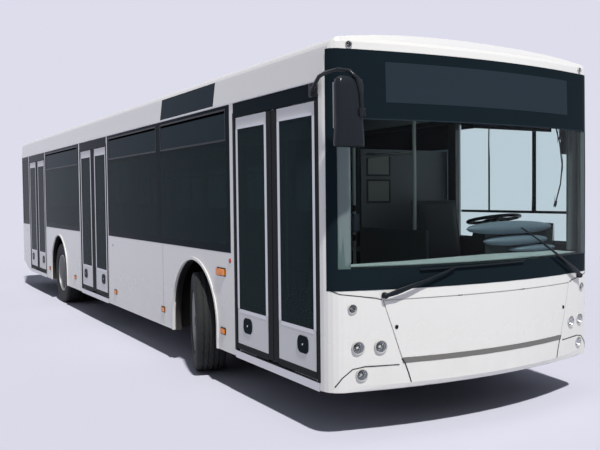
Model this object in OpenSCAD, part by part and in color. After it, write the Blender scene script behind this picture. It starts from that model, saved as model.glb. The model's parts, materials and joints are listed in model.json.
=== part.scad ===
// Low-floor city bus with three double inward-gliding doors, tinted band
// windows and steered front wheels. X forward, Y to the bus's left, Z up,
// origin on the ground under the middle of the bus. Millimetres.

/* [Body] */
// Width of the body over its side walls
body_w = 2550; // [2500:10:2600]
// Where the rear wall's outer face lies, behind the origin
rear_x = -6020; // [-6060:10:-6000]
// Joint between side walls and front mask
seam_x = 5580; // [5570:5:5590]
// Foremost point of the front mask
nose_x = 5935; // [5900:5:5960]
// Radius of the mask's corners in plan
corner_r = 150; // [120:10:180]
// Thickness of the side walls
wall_t = 60; // [50:5:70]
// Thickness of the roof, mask and rear wall
shell_t = 45; // [35:5:50]

/* [Heights above ground] */
// Lower edge of the skirts
skirt_z = 320; // [300:5:340]
// Top of the floor deck and the door sills
floor_z = 370; // [355:5:375]
// Lower edge of the window band
waist_z = 1180; // [1150:10:1200]
// Upper edge of the window band, where the roof cove starts
cove_z = 2425; // [2415:5:2440]
// Roof edge
edge_z = 2720; // [2700:5:2740]
// Crown of the roof
crown_z = 2808; // [2798:5:2818]
// Top of the roof hatches
hatch_z = 2860; // [2850:5:2880]

/* [Windows] */
// Thickness of the bonded side panes and the windscreen
glass_t = 6; // [5:1:8]
// How far the wall's opening stays inside its pane's edge
rebate = 45; // [35:5:60]
// Lower edge of the windscreen
screen_z = 1010; // [1000:5:1030]
// Upper edge of the windscreen
screen_top_z = 2635; // [2620:5:2650]

/* [Doors] */
// Half the width of a door portal between its posts
portal_half = 700; // [690:5:710]
// Height where the portal ends below its header
portal_top_z = 2345; // [2340:5:2360]
// Gap between a closed leaf and its post
post_gap = 40; // [36:2:50]
// Half the gap between two closed leaves
meet_gap = 4; // [3:1:8]
// Thickness of a door leaf
leaf_t = 36; // [30:2:40]
// Lower edge of a door leaf
leaf_z = 396; // [394:2:404]
// Upper edge of a door leaf
leaf_top_z = 2300; // [2290:5:2305]
// Width of a leaf's aluminium stiles
stile_w = 38; // [30:2:50]
// Width of the rubber finger guard on a leaf's leading edge
rubber_w = 86; // [70:2:100]
// Opening angle that the leaf hinges are laid out for
open_deg = 84; // [80:1:86]

/* [Wheels] */
// Position of the front axle
front_axle_x = 3190; // [3150:10:3230]
// Position of the rear axle
rear_axle_x = -2700; // [-2740:10:-2660]
// Outer radius of the tyres
tyre_r = 470; // [460:2:480]
// Width of a tyre
tyre_w = 275; // [260:5:280]
// Radius of the rim's flange
rim_r = 298; // [290:2:306]
// Distance of the kingpins from the middle
kingpin_y = 985; // [970:5:990]
// Distance from a kingpin to its wheel's middle plane
wheel_off = 145; // [140:5:145]
// Steering angle at rest, to the right
steer_rest = 17; // [0:1:26]
// Distance of the outer rear tyres' middle plane from the middle
rear_tyre_y = 1105; // [1090:5:1110]
// Distance between the two tyres of a twin
twin_pitch = 312; // [305:1:320]
// Radius of the wheel arch openings
arch_r = 565; // [560:5:580]
// Height of the arch openings' centre
arch_z = 500; // [480:5:520]

/* [Hidden] */
$fn = 48;

half_w = body_w / 2;
seat_gap = 0.3;
// Middles of the three doors along X, from the front
door_x = [seam_x - 20 - portal_half, -512, -4434];
wall_in_y = half_w - wall_t;

function arc(c, r, a0, a1, n) =
    [for (i = [0:n]) c + r * [cos(a0 + (a1 - a0) * i / n), sin(a0 + (a1 - a0) * i / n)]];

module box(lo, hi) translate(lo) cube(hi - lo);
// Extrudes an outline drawn in X and Z along Y
module prism_y(y0, y1) translate([0, y1, 0]) rotate([90, 0, 0]) linear_extrude(y1 - y0) children();
// Extrudes an outline drawn in Y and Z along X
module prism_x(x0, x1) translate([x0, 0, 0]) rotate([90, 0, 90]) linear_extrude(x1 - x0) children();
module rod(a, b, r) {
    d = b - a;
    l = norm(d);
    translate(a) rotate([0, acos(d[2] / l), atan2(d[1], d[0])]) cylinder(r = r, h = l);
}
module both_sides() {
    children();
    mirror([0, 1, 0]) children();
}

// Cross-section of the body
cove_in = 25;
edge_r = 90;
crown_half = half_w - cove_in - edge_r;
crown_rise = crown_z - edge_z;
crown_r = (crown_half * crown_half + crown_rise * crown_rise) / (2 * crown_rise);
crown_half_a = asin(crown_half / crown_r);
function section_half(t) = concat(
    [[half_w - t, skirt_z - 1], [half_w - t, cove_z]],
    arc([half_w - cove_in - edge_r, edge_z - edge_r], edge_r - t, 0, 90 - crown_half_a, 5),
    arc([0, crown_z - crown_r], crown_r - t, 90 - crown_half_a + 1, 90, 6));
function flip(pts) = [for (i = [len(pts) - 1:-1:0]) [-pts[i][0], pts[i][1]]];
function section(t) = concat(section_half(t), flip(section_half(t)));
function roof_in_z(y) = crown_z - crown_r + sqrt(pow(crown_r - shell_t, 2) - y * y);

// Plan outline of one end of the body: a wide front arc of depth dep before the
// joint, running into corners of radius rc that start at the joint
function end_plan(seam, dep, hw, rc) =
    let (c = min(rc, dep / 2),
         r = (dep * dep + hw * hw - 2 * hw * c) / (2 * (dep - c)),
         a = atan2(hw - c, r - dep))
    concat(arc([seam, -hw + c], c, -90, -a, 5),
           arc([seam + dep - r, 0], r, -a * 0.9, a * 0.9, 10),
           arc([seam, hw - c], c, a, 90, 5));
// Solid lofted through plan outlines, t inside the outer face; rings are [height, depth]
module end_solid(seam, rc, rings, t) {
    plans = [for (g = rings) [for (p = end_plan(seam, max(g[1] - t, 8), half_w - t, max(rc - t, 8)))
             [p[0], p[1], g[0] > cove_z ? g[0] - t : g[0] - (t > 0 ? 3 : 0)]]];
    n = len(plans[0]);
    m = len(rings);
    points = [for (ring = plans) for (p = ring) p];
    sides = [for (k = [0:m - 2]) for (i = [0:n - 1]) let (j = (i + 1) % n, a = k * n, b = a + n)
        each [[a + i, b + i, b + j], [a + i, b + j, a + j]]];
    polyhedron(points, concat([[for (i = [0:n - 1]) i]], sides,
                              [[for (i = [n - 1:-1:0]) i + (m - 1) * n]]));
}
rake = 92;
nose_dep = nose_x - seam_x;
front_rings = [[skirt_z, nose_dep - 40], [skirt_z + 10, nose_dep - 14], [skirt_z + 40, nose_dep],
               [940, nose_dep - 12], [2640, nose_dep - rake], [2685, nose_dep - rake - 12],
               [2714, nose_dep - rake - 42], [2736, nose_dep - rake - 90], [crown_z + 5, 30]];
rear_corner_r = 120;
rear_seam = -rear_x - 150;
rear_rings = [[470, 150], [2600, 140], [2670, 128], [2715, 90], [2735, 40], [crown_z + 5, 10]];

// Depth of an end's face before its joint, y from the middle
function end_depth(dep, rc, y) =
    let (c = min(rc, dep / 2), r = (dep * dep + half_w * half_w - 2 * half_w * c) / (2 * (dep - c)))
    dep - r + sqrt(r * r - y * y);
function front_face(y, z) = seam_x + end_depth(lookup(z, front_rings), corner_r, y);
function rear_face(y, z) = -rear_seam - end_depth(lookup(z, rear_rings), rear_corner_r, y);

module front_solid(t) intersection() {
    union() {
        end_solid(seam_x, corner_r, front_rings, t);
        if (t > 0) prism_x(seam_x - 5, seam_x + 1) polygon(section(t));
    }
    prism_x(seam_x - 10, nose_x + 10) polygon(section(t));
}
module rear_solid(t) mirror([1, 0, 0]) intersection() {
    union() {
        end_solid(rear_seam, rear_corner_r, rear_rings, t);
        if (t > 0) prism_x(rear_seam - 5, rear_seam + 1) polygon(section(t));
    }
    prism_x(rear_seam - 10, -rear_x + 10) polygon(section(t));
}

// Floor with its wheel housings
well_front_half = 640;
well_rear_half = 620;
well_front_y = 560;
well_rear_y = 560;
well_top = 1040;
deck_t = 40;
engine_x0 = -rear_seam + 20;
engine_x1 = -4600;
engine_y0 = 300;
housing_t = 20;
// Columns: axle position, half length, inner side
wells = [[front_axle_x, well_front_half, well_front_y], [rear_axle_x, well_rear_half, well_rear_y]];

module floor() color("dimgray") {
    difference() {
        box([engine_x0, -wall_in_y + seat_gap, floor_z - deck_t], [seam_x - 10, wall_in_y - seat_gap, floor_z]);
        for (w = wells) both_sides()
            box([w[0] - w[1] - housing_t - seat_gap, w[2] - housing_t - seat_gap, 0],
                [w[0] + w[1] + housing_t + seat_gap, half_w, floor_z + 1]);
        box([engine_x0 - 60, engine_y0 - 60 - seat_gap, 0], [engine_x1 + 80 + seat_gap, half_w, floor_z + 1]);
    }
    // Door sills
    for (d = door_x)
        box([d - portal_half + 1, -half_w, floor_z - 60], [d + portal_half - 1, -wall_in_y, floor_z]);
}
module wheel_housings() color("gray") for (w = wells) both_sides() difference() {
    box([w[0] - w[1] - housing_t, w[2] - housing_t, floor_z - deck_t],
        [w[0] + w[1] + housing_t, wall_in_y - seat_gap, well_top + housing_t]);
    box([w[0] - w[1], w[2], 0], [w[0] + w[1], half_w, well_top]);
}

rail_y = 420;
rail_w = 80;
rail_z0 = 230;
// Towing eyes: how far they stand out of the rails, height, thickness, bore
eye_reach = 90;
eye_z = 245;
eye_t = 35;
eye_bore_r = 21;
module underframe() color("black") {
    // Columns: rear end, front end of each pair of rails between the axles
    for (s = [[-5800, rear_axle_x - link_half], [rear_axle_x + link_half, front_axle_x - link_half], [front_axle_x + link_half, 5500]])
        both_sides() box([s[0], rail_y - rail_w / 2, rail_z0], [s[1], rail_y + rail_w / 2, floor_z - deck_t - seat_gap]);
    for (x = [-4400, -3800, -1900, -900, 100, 1100, 2100, 3900, 4700])
        box([x - 40, -rail_y + rail_w / 2 - 1, rail_z0 + 10], [x + 40, rail_y - rail_w / 2 + 1, rail_z0 + 70]);
    // Engine cradle
    for (x = [-5550, -4800])
        box([x - 40, rail_y, rail_z0 + 10], [x + 40, wall_in_y - 80, floor_z - deck_t - seat_gap]);
    // Towing eyes at both ends
    for (e = [[5500, 1], [-5800, -1]]) difference() {
        union() {
            box([min(e[0], e[0] + e[1] * eye_reach), -60, eye_z], [max(e[0], e[0] + e[1] * eye_reach), 60, eye_z + eye_t]);
            translate([e[0] + e[1] * eye_reach, 0, eye_z]) cylinder(r = 60, h = eye_t);
            box([e[0] - (e[1] > 0 ? 90 : 0), -rail_y + 1, rail_z0 + 10], [e[0] + (e[1] > 0 ? 0 : 90), rail_y - 1, rail_z0 + 70]);
        }
        translate([e[0] + e[1] * eye_reach, 0, eye_z - 1]) cylinder(r = eye_bore_r, h = eye_t + 2);
    }
}

// Side walls: panes as [rear edge, front edge]
panes_left = [[-5830, -4480], [-4450, -2840], [-2810, -1200], [-1170, 440], [470, 2080], [2110, 3960],
              [3990, 5540]];
panes_right = [[-5830, -5215], [-3655, -1300], [260, 2220], [2250, 4060]];
module pane(p, lo, hi) translate([p[0] + lo, waist_z + lo]) square([p[1] - p[0] - lo - hi, cove_z - waist_z - lo - hi]);
module wall_outline() difference() {
    polygon([[-rear_seam, 470], [-5300, skirt_z], [seam_x, skirt_z], [seam_x, cove_z], [-rear_seam, cove_z]]);
    for (x = [front_axle_x, rear_axle_x]) {
        translate([x, arch_z]) circle(r = arch_r, $fn = 72);
        translate([x - arch_r, 0]) square([2 * arch_r, arch_z]);
    }
}
lip_t = 12;
module arch_lip(x) prism_y(half_w - 30, half_w + lip_t) difference() {
    union() {
        translate([x, arch_z]) circle(r = arch_r + 26, $fn = 72);
        translate([x - arch_r - 26, skirt_z]) square([2 * (arch_r + 26), arch_z - skirt_z]);
    }
    translate([x, arch_z]) circle(r = arch_r, $fn = 72);
    translate([x - arch_r, 0]) square([2 * arch_r, arch_z]);
    translate([x - arch_r - 100, skirt_z - 900]) square([2 * arch_r + 200, 900]);
}
module wall(panes) {
    difference() {
        prism_y(wall_in_y, half_w) wall_outline();
        for (p = panes) {
            prism_y(half_w - glass_t - seat_gap, half_w + 1) pane(p, -seat_gap, -seat_gap);
            prism_y(wall_in_y - 1, half_w) pane(p, rebate, rebate);
        }
    }
    for (x = [front_axle_x, rear_axle_x]) arch_lip(x);
}
module side_wall_left() color("gainsboro") wall(panes_left);

module side_wall_right() color("gainsboro") mirror([0, 1, 0]) difference() {
    wall(panes_right);
    for (d = door_x) box([d - portal_half, wall_in_y - 1, 0], [d + portal_half, half_w + 1, cove_z + 1]);
}
header_in_y = 1010;
// Headers over the doors and the pairs of rails that guide the leaves' rollers
module door_guides() color("darkgray") mirror([0, 1, 0]) for (d = door_x) {
    box([d - portal_half + seat_gap, header_in_y, portal_top_z], [d + portal_half - seat_gap, half_w, cove_z - seat_gap]);
    for (y = [-1, 1]) for (s = [-1, 1])
        box([d + min(s * guide_x0, s * guide_x1), half_w - leaf_mid + y * rail_off - 2, guide_z],
            [d + max(s * guide_x0, s * guide_x1), half_w - leaf_mid + y * rail_off + 2, portal_top_z - seat_gap]);
}

// Doors: the leaf's middle lies leaf_mid inside the skin, its crank pivots crank_in from the post
leaf_face = 3;
leaf_mid = leaf_face + leaf_t / 2;
trail = 15;
lead = 10;
crank_in = post_gap + trail;
leaf_total = portal_half - post_gap - meet_gap;
travel = leaf_total - trail - lead;
crank = travel / 2;
arm_t = 10;
arm_w = 24;
top_arm_z = leaf_top_z + 6;
low_arm_z = leaf_z - 6 - arm_t;
pin_r = 6;
guide_z = top_arm_z + arm_t + 6;
guide_x0 = 8;
guide_x1 = travel * 0.86 + meet_gap;
stub_r = 10;
roller_r = 9;
rail_off = roller_r + 7.2;

// One leaf of door d in its own frame: post at x = 0, leaf towards +X, outside towards -Y
module leaf_frame(post_x, way) translate([post_x, -half_w, 0]) mirror([way < 0 ? 1 : 0, 0, 0]) children();
module crank_arm() {
    y = leaf_mid;
    for (z = [low_arm_z, top_arm_z]) difference() {
        union() {
            box([crank_in, y - arm_w / 2, z], [crank_in + crank, y + arm_w / 2, z + arm_t]);
            for (x = [crank_in, crank_in + crank]) translate([x, y, z]) cylinder(r = arm_w / 2, h = arm_t);
        }
        translate([crank_in + crank, y, z - 1]) cylinder(r = pin_r + seat_gap, h = arm_t + 2);
    }
    translate([crank_in, y, floor_z + seat_gap]) cylinder(r = stub_r, h = low_arm_z - floor_z - seat_gap);
    translate([crank_in, y, top_arm_z + arm_t - 1]) cylinder(r = stub_r, h = portal_top_z - seat_gap - top_arm_z - arm_t + 1);
}
band_h = 80;
panel_top_z = 725;
module leaf_window(gap) translate([post_gap + stile_w + gap, panel_top_z + gap])
    square([leaf_total - stile_w * 2 - rubber_w - 2 * gap, leaf_top_z - 14 - band_h - panel_top_z - 2 * gap]);
module door_leaf() {
    difference() {
        box([post_gap, leaf_face, leaf_z], [portal_half - meet_gap, leaf_face + leaf_t, leaf_top_z]);
        prism_y(leaf_face - 1, leaf_face + leaf_t + 1) leaf_window(0);
    }
    px = crank_in + crank;
    for (z = [low_arm_z, leaf_top_z - 1]) translate([px, leaf_mid, z])
        cylinder(r = pin_r, h = (z > leaf_z ? top_arm_z + arm_t : leaf_z + 1) - z);
    // Guide roller on its pin
    translate([portal_half - meet_gap - lead, leaf_mid, leaf_top_z + seat_gap]) {
        cylinder(r = 5, h = guide_z - leaf_top_z + 4);
        translate([0, 0, guide_z + 2 - leaf_top_z]) cylinder(r = roller_r, h = portal_top_z - guide_z - 8);
    }
}
module door_pane()
    prism_y(leaf_face + 2, leaf_face + 2 + glass_t) leaf_window(seat_gap);

module arm_piece(d, way) color("silver") leaf_frame(door_x[d - 1] - way * portal_half, way) crank_arm();
module leaf_piece(d, way) color("lightgray") leaf_frame(door_x[d - 1] - way * portal_half, way) door_leaf();
module pane_piece(d, way) color([0.2, 0.25, 0.28, 0.6]) leaf_frame(door_x[d - 1] - way * portal_half, way) door_pane();

// Roof
display_x = [2290, 3720];
display_z = [2445, 2655];
module roof() color("gainsboro") difference() {
    prism_x(-rear_seam, seam_x) difference() {
        polygon(section(0));
        polygon(section(shell_t));
        translate([-half_w - 1, 0]) square([body_w + 2, cove_z]);
    }
    box([display_x[0], -half_w - 1, display_z[0]], [display_x[1], -half_w + 100, display_z[1]]);
}
module roof_hatches() color("white")
    for (x = [-3600, 200]) {
        box([x - 340, -290, crown_z + seat_gap], [x + 340, 290, hatch_z - 20]);
        box([x - 400, -350, hatch_z - 32], [x + 400, 350, hatch_z]);
    }
module side_display() color("black") prism_x(display_x[0] + seat_gap, display_x[1] - seat_gap) intersection() {
    difference() {
        polygon(section(2));
        polygon(section(shell_t - 3));
    }
    translate([-half_w, display_z[0] + seat_gap]) square([200, display_z[1] - display_z[0] - 2 * seat_gap]);
}

// Front mask
screen_x = seam_x + 60;
flap_top_z = 935;
flap_low_z = 535;
flap_half_top = 905;
flap_half_low = 775;
flap_t = 10;
hatch_t = 25;
flap_gap = 8;
// Axis of the flap's gooseneck hinges and where they stand
flap_axis_x = nose_x - 51;
flap_axis_z = flap_top_z + 50;
neck_y = [290, 320];
neck_reach = 70;
neck_drop = 92;
neck_w = 12;
slot_z = 497;
module flap_outline(g)
    polygon([[-flap_half_low - g, flap_low_z - g], [flap_half_low + g, flap_low_z - g],
             [flap_half_top + g, flap_top_z + g], [-flap_half_top - g, flap_top_z + g]]);
module screen_zone(g) box([screen_x + g, -half_w - 1, screen_z + g], [nose_x + 10, half_w + 1, screen_top_z - g]);
module mask_shell() difference() {
    front_solid(0);
    front_solid(shell_t);
    intersection() {
        difference() {
            screen_zone(-seat_gap);
            front_solid(glass_t + seat_gap);
        }
        screen_zone(-seat_gap);
    }
    screen_zone(rebate);
    difference() {
        prism_x(seam_x + 100, nose_x + 10) flap_outline(flap_gap);
        front_solid(flap_t + seat_gap);
    }
    prism_x(seam_x + 100, nose_x + 10) flap_outline(-20);
    prism_x(seam_x + 100, nose_x + 10) translate([-flap_half_low, slot_z]) square([2 * flap_half_low, 25]);
    for (l = lamp_spots) both_sides() translate([-20, 0, 0]) lamp_at(l, lamp_depth + 90, seat_gap);
    for (w = wiper_table) wiper_spindle(w, seat_gap);
    // Pockets of the flap's hinges
    both_sides() {
        box([flap_axis_x - 90, neck_y[0] - 7, flap_top_z - 25], [flap_axis_x + 14, neck_y[1] + 7, flap_axis_z + 14]);
        box([flap_axis_x - 90, neck_y[0] - 7, flap_top_z - 25], [flap_axis_x + 28, neck_y[1] + 7, flap_top_z + flap_gap]);
    }
}
module front_mask() color("white") {
    mask_shell();
    both_sides() hinge_pin(neck_y[0] - 9, neck_y[1] + 9, 4);
}
module hinge_pin(y0, y1, r) translate([flap_axis_x, y0, flap_axis_z]) rotate([-90, 0, 0]) cylinder(r = r, h = y1 - y0);
// Arm that carries the flap round the edge of its opening
module gooseneck() difference() {
    union() {
        hinge_pin(neck_y[0], neck_y[1], 8);
        prism_y(neck_y[0], neck_y[1]) translate([flap_axis_x, flap_axis_z])
            polygon([[0, 6], [-neck_reach, 6], [-neck_reach, -neck_drop], [20, -neck_drop], [20, neck_w - neck_drop],
                     [neck_w - neck_reach, neck_w - neck_drop], [neck_w - neck_reach, -6], [0, -6]]);
    }
    hinge_pin(neck_y[0] - 1, neck_y[1] + 1, 4 + seat_gap);
}
module front_flap() color("white") {
    flap_skin();
    both_sides() gooseneck();
}
module flap_skin() intersection() {
    difference() {
        front_solid(0);
        front_solid(flap_t);
    }
    prism_x(seam_x + 100, nose_x + 10) flap_outline(0);
}
module windshield() color([0.3, 0.35, 0.38, 0.5]) intersection() {
    difference() {
        front_solid(0);
        front_solid(glass_t);
    }
    screen_zone(0);
}
// Round lamps of one side: [distance from the middle, height, radius]
lamp_spots = [[half_w - 157, 890, 30], [half_w - 192, 622, 43], [half_w - 345, 622, 43], [half_w - 215, 436, 40],
              [half_w - 157, 2664, 22]];
lamp_depth = 40;
module lamp_at(l, h, g) translate([front_face(l[0], l[1]) - lamp_depth, -l[0], l[1]]) rotate([0, 90, 0])
    cylinder(r = l[2] + g, h = h);
module front_lamps() color("silver")
    for (l = lamp_spots) both_sides() lamp_at(l, lamp_depth, 0);

marker_x = [-3430, -1630, 525, 2310, 3890];
module side_markers() color("orange") both_sides() {
    for (x = marker_x) box([x - 40, half_w + seat_gap, 470], [x + 40, half_w + 14, 510]);
    box([3780, half_w + seat_gap, 975], [3870, half_w + 20, 1030]);
}

// Rear
hatch_half = 880;
hatch_low_z = 500;
hatch_top_z = 1330;
rear_lamp_z = [620, 760, 900];
module hatch_outline(g) translate([-hatch_half - g, hatch_low_z - g]) square([2 * (hatch_half + g), hatch_top_z - hatch_low_z + 2 * g]);
module rear_wall() color("gainsboro") difference() {
    rear_solid(0);
    rear_solid(shell_t);
    prism_x(rear_x - 10, -rear_seam + 10) hatch_outline(-20);
    difference() {
        prism_x(rear_x - 10, -rear_seam - 20) hatch_outline(flap_gap);
        rear_solid(hatch_t + seat_gap);
    }
    for (y = [-rear_hinge_y, rear_hinge_y])
        box([rear_x - 10, y - 50, hatch_top_z], [rear_x + 16, y + 50, hatch_top_z + flap_gap + 12]);
    difference() {
        rear_zone(-seat_gap);
        rear_solid(glass_t + seat_gap);
    }
    rear_zone(rebate);
    for (z = rear_lamp_z) both_sides() rear_lamp_at(z, seat_gap, 90);
}
rear_glass_half = 860;
rear_glass_z = [1480, 2420];
module rear_zone(g) box([rear_x - 10, -rear_glass_half + g, rear_glass_z[0] + g], [-rear_seam - 20, rear_glass_half - g, rear_glass_z[1] - g]);
rear_lamp_y = 1030;
module rear_lamp_at(z, g, h) translate([rear_face(rear_lamp_y, z) + lamp_depth, rear_lamp_y, z])
    rotate([0, -90, 0]) cylinder(r = 52 + g, h = h);
rear_hinge_y = 220;
module engine_hatch() color("gainsboro") {
    intersection() {
        difference() {
            rear_solid(0);
            rear_solid(hatch_t);
        }
        prism_x(rear_x - 10, -rear_seam + 10) hatch_outline(0);
    }
    // Hinge knuckles on the upper edge
    for (y = [-rear_hinge_y, rear_hinge_y])
        translate([rear_x + 5, y - 42, hatch_top_z + 5]) rotate([-90, 0, 0]) cylinder(r = 7, h = 84);
}
module side_glass() color([0.15, 0.18, 0.2, 0.7]) {
    for (p = panes_left) prism_y(half_w - glass_t, half_w) pane(p, 0, 0);
    for (p = panes_right) prism_y(-half_w, -half_w + glass_t) pane(p, 0, 0);
    intersection() {
        difference() {
            rear_solid(0);
            rear_solid(glass_t);
        }
        rear_zone(0);
    }
}
module rear_lamps() color("red") both_sides()
    for (z = rear_lamp_z) rear_lamp_at(z, 0, lamp_depth);

module engine_cover() color("gray") difference() {
    box([engine_x0, engine_y0 - 60, floor_z - deck_t], [engine_x1 + 80, wall_in_y - seat_gap, 1560]);
    box([engine_x0 - 10, engine_y0 - 35, 0], [engine_x1 + 55, wall_in_y - 25, 1535]);
}
module engine() color("darkslategray")
    box([engine_x0 + 90, engine_y0, floor_z - deck_t], [engine_x1, wall_in_y - 80, 1450]);

// Inside
dash_y = 540;
wheel_tilt = 10;
wheel_at = [5000, 840, 1435];
column_dir = [sin(wheel_tilt), 0, -cos(wheel_tilt)];
column_len = 170;
ledge_x = 5600;
ledge_z = 1165;
module dashboard() color("slategray") {
    prism_y(-dash_y, wall_in_y - 165) polygon([[5420, 900], [ledge_x - seat_gap, 900], [ledge_x - seat_gap, ledge_z], [5420, ledge_z - 40]]);
    intersection() {
        front_solid(shell_t + 3);
        box([ledge_x, -half_w, ledge_z - 30], [nose_x, half_w, ledge_z]);
    }
    // Driver's console under its hood
    prism_y(360, wall_in_y - 65) polygon(concat([[5420 - seat_gap, 700], [5420 - seat_gap, 1400]], arc([5340, 1340], 65, 80, 170, 5),
        [[5230, 1230], [5110, 1160], [5040, 760]]));
    column_end = column_len + seat_gap;
    rod(wheel_at + column_end * column_dir, wheel_at + (column_end + 330) * column_dir, 32);
    box([5420, -dash_y, floor_z + seat_gap], [5470, wall_in_y - 65, 899.7]);
}
module steering_wheel() color("black") translate(wheel_at) rotate([0, -wheel_tilt, 0]) {
    rotate_extrude() translate([228, 0]) circle(r = 15, $fn = 24);
    cylinder(r = 60, h = 30, center = true);
    for (a = [90, 210, 330]) rotate([0, 0, a]) translate([0, -15, -8]) cube([225, 30, 12]);
    translate([0, 0, -column_len]) cylinder(r = 25, h = column_len);
}
module seat(x, y, w, z, leg) translate([x, y, z]) {
    prism_y(0, w) polygon([[0, 0], [430, 20], [430, 75], [60, 75], [-60, 700], [-110, 700], [-50, 20]]);
    box([150, w / 2 - 40, -leg], [230, w / 2 + 40, 10]);
}
module driver_seat() color("dimgray") seat(4230, 590, 500, 900, 900 - 640 - seat_gap);
module driver_partition() color("gray") {
    box([3870, 160, floor_z + seat_gap], [5415, wall_in_y - seat_gap, 640]);
    box([3870, 160, 639], [3900, wall_in_y - seat_gap, 2100]);
    box([3899, 160, 639], [4900, 190, 1350]);
}
// Pairs of seats: [x of the front edge, side]
seat_rows = [
    [2080, 1], [1320, 1], [560, 1], [-200, 1], [-960, 1], [-3900, 1],
    [1900, -1], [1140, -1], [-1420, -1], [-5280, -1],
];
seat_w = 880;
module passenger_seats() color("steelblue")
    for (s = seat_rows)
        seat(s[0] - 430, s[1] > 0 ? wall_in_y - 35 - seat_w : 35 - wall_in_y, seat_w, floor_z + 400, 400 - seat_gap);

pole_r = 17;
// Poles: [x, y]
poles = [[3860, 100], [2150, 260], [600, 260], [-900, 260], [400, -900], [-1400, -250], [-3550, -350],
         [4020, -900], [-3450, 260], [-4434, 200]];
module handrails() color("khaki") {
    for (p = poles) translate([p[0], p[1], floor_z + seat_gap]) cylinder(r = pole_r, h = roof_in_z(abs(p[1]) + pole_r) - floor_z - 2 * seat_gap - 1.5);
    rod([2150, 260, 1950], [-3450, 260, 1950], pole_r - 1);
}
module front_display() color("black")
    box([seam_x - 80, -870, 2310], [seam_x - 2, 870, roof_in_z(870) - 0.9]);

// Mirrors and wipers
mirror_arm_y = half_w + 50;
// The right mirror hangs ahead of the mask on an arm; the left one sits beside the pillar
module mirrors() color("black") {
    plate_y = -half_w - seat_gap;
    box([seam_x - 45, plate_y - 14, 2320], [seam_x - 2, plate_y, 2410]);
    box([seam_x - 35, -mirror_arm_y - 12, 2350], [seam_x - 10, plate_y - 13, 2380]);
    prism_y(-mirror_arm_y - 11, -mirror_arm_y + 11) translate([seam_x, 0])
        polygon([[-30, 2355], [-5, 2355], [110, 2435], [360, 2435], [375, 2390], [405, 2390], [385, 2462], [100, 2462]]);
    box([seam_x + 350, -half_w - 105, 1960], [seam_x + 440, -half_w + 105, 2400]);
    box([seam_x - 260, half_w + seat_gap, 2430], [seam_x - 190, half_w + 16, 2490]);
    box([seam_x - 245, half_w + 15, 2440], [seam_x - 205, half_w + 50, 2470]);
    box([seam_x - 265, half_w + 35, 2000], [seam_x - 185, half_w + 185, 2445]);
}
// Wipers: [pivot's y and z, blade tip's y and z]
wiper_table = [[-905, 972, -180, 1135], [1060, 985, 600, 1290]];
module wiper_spindle(w, g) translate([front_face(w[0], w[1]) - 30, w[0], w[1]]) rotate([0, 90, 0]) cylinder(r = 12 + g, h = 50 + g);
module wipers() color("black") for (w = wiper_table) {
    face = front_face(w[0], w[1]);
    tip = front_face(w[2], w[3]);
    foot = front_face(abs(w[0]) - 18, w[1] - 18) + seat_gap;
    translate([foot, w[0], w[1]]) rotate([0, 90, 0]) cylinder(r = 18, h = face + 50 - foot);
    wiper_spindle(w, 0);
    rod([face + 40, w[0], w[1]], [tip + 32, w[2], w[3]], 9);
}

// Axles, knuckles, wheels
hub_z = tyre_r;
beam_z0 = 170;
beam_z1 = 300;
// Links that carry an axle between the ends of the rails
link_half = 330;
module axle_links(x) box([x - link_half + seat_gap, rail_y - 30, 240], [x + link_half - seat_gap, rail_y + 30, 290]);
module front_axle() color("black") {
    box([front_axle_x - 70, -700, beam_z0], [front_axle_x + 70, 700, beam_z1]);
    both_sides() {
        axle_links(front_axle_x);
        box([front_axle_x - 60, 650, beam_z0], [front_axle_x + 60, 760, hub_z + 40]);
        for (z = [hub_z - 160, hub_z + 100]) difference() {
            box([front_axle_x - 50, 720, z], [front_axle_x + 50, kingpin_y + 40, z + 50]);
            translate([front_axle_x, kingpin_y, z - 1]) cylinder(r = 22.3, h = 52);
        }
    }
}
module rear_axle() color("black") {
    box([rear_axle_x - 90, -600, beam_z0], [rear_axle_x + 90, 600, beam_z1]);
    both_sides() {
        axle_links(rear_axle_x);
        box([rear_axle_x - 80, well_rear_y + 8, beam_z0], [rear_axle_x + 80, well_rear_y + 80, hub_z + 60]);
        translate([rear_axle_x, 600, hub_z]) rotate([-90, 0, 0]) cylinder(r = 50, h = 450);
    }
}
// A front corner of the right side in a frame with the wheel straight ahead and the kingpin at the origin
module steered(side) translate([front_axle_x, side * kingpin_y, 0]) rotate([0, 0, -steer_rest])
    mirror([0, side > 0 ? 1 : 0, 0]) children();
module knuckle() {
    translate([0, 0, hub_z - 165]) cylinder(r = 22, h = 330);
    translate([0, 0, hub_z - 100]) cylinder(r = 55, h = 190);
    translate([0, 0, hub_z]) rotate([90, 0, 0]) cylinder(r = 40, h = 170);
}
tyre_bead_r = 286;
module tyre_profile() polygon(concat(
    [[tyre_bead_r, -tyre_w / 2 + 30], [tyre_bead_r, tyre_w / 2 - 30], [tyre_bead_r + 30, tyre_w / 2 - 8]],
    [[tyre_bead_r + 90, tyre_w / 2]],
    arc([tyre_r - 32, tyre_w / 2 - 32 - 4], 32, 60, 0, 3),
    arc([tyre_r - 32, -tyre_w / 2 + 32 + 4], 32, 0, -60, 3),
    [[tyre_bead_r + 90, -tyre_w / 2], [tyre_bead_r + 30, -tyre_w / 2 + 8]]));
module tyre() rotate([90, 0, 0]) rotate_extrude($fn = 96) tyre_profile();
module rim_profile(dish) polygon([
    [tyre_bead_r - seat_gap, -tyre_w / 2 + 20], [tyre_bead_r - seat_gap, tyre_w / 2 - 20], [rim_r - 20, tyre_w / 2 - 12],
    [rim_r - 28, tyre_w / 2 - 12], [270, dish + 20], [150, dish + 12], [150, dish], [262, dish],
    [tyre_bead_r - 20, dish - 30], [tyre_bead_r - 20, -tyre_w / 2 + 20]]);
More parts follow.
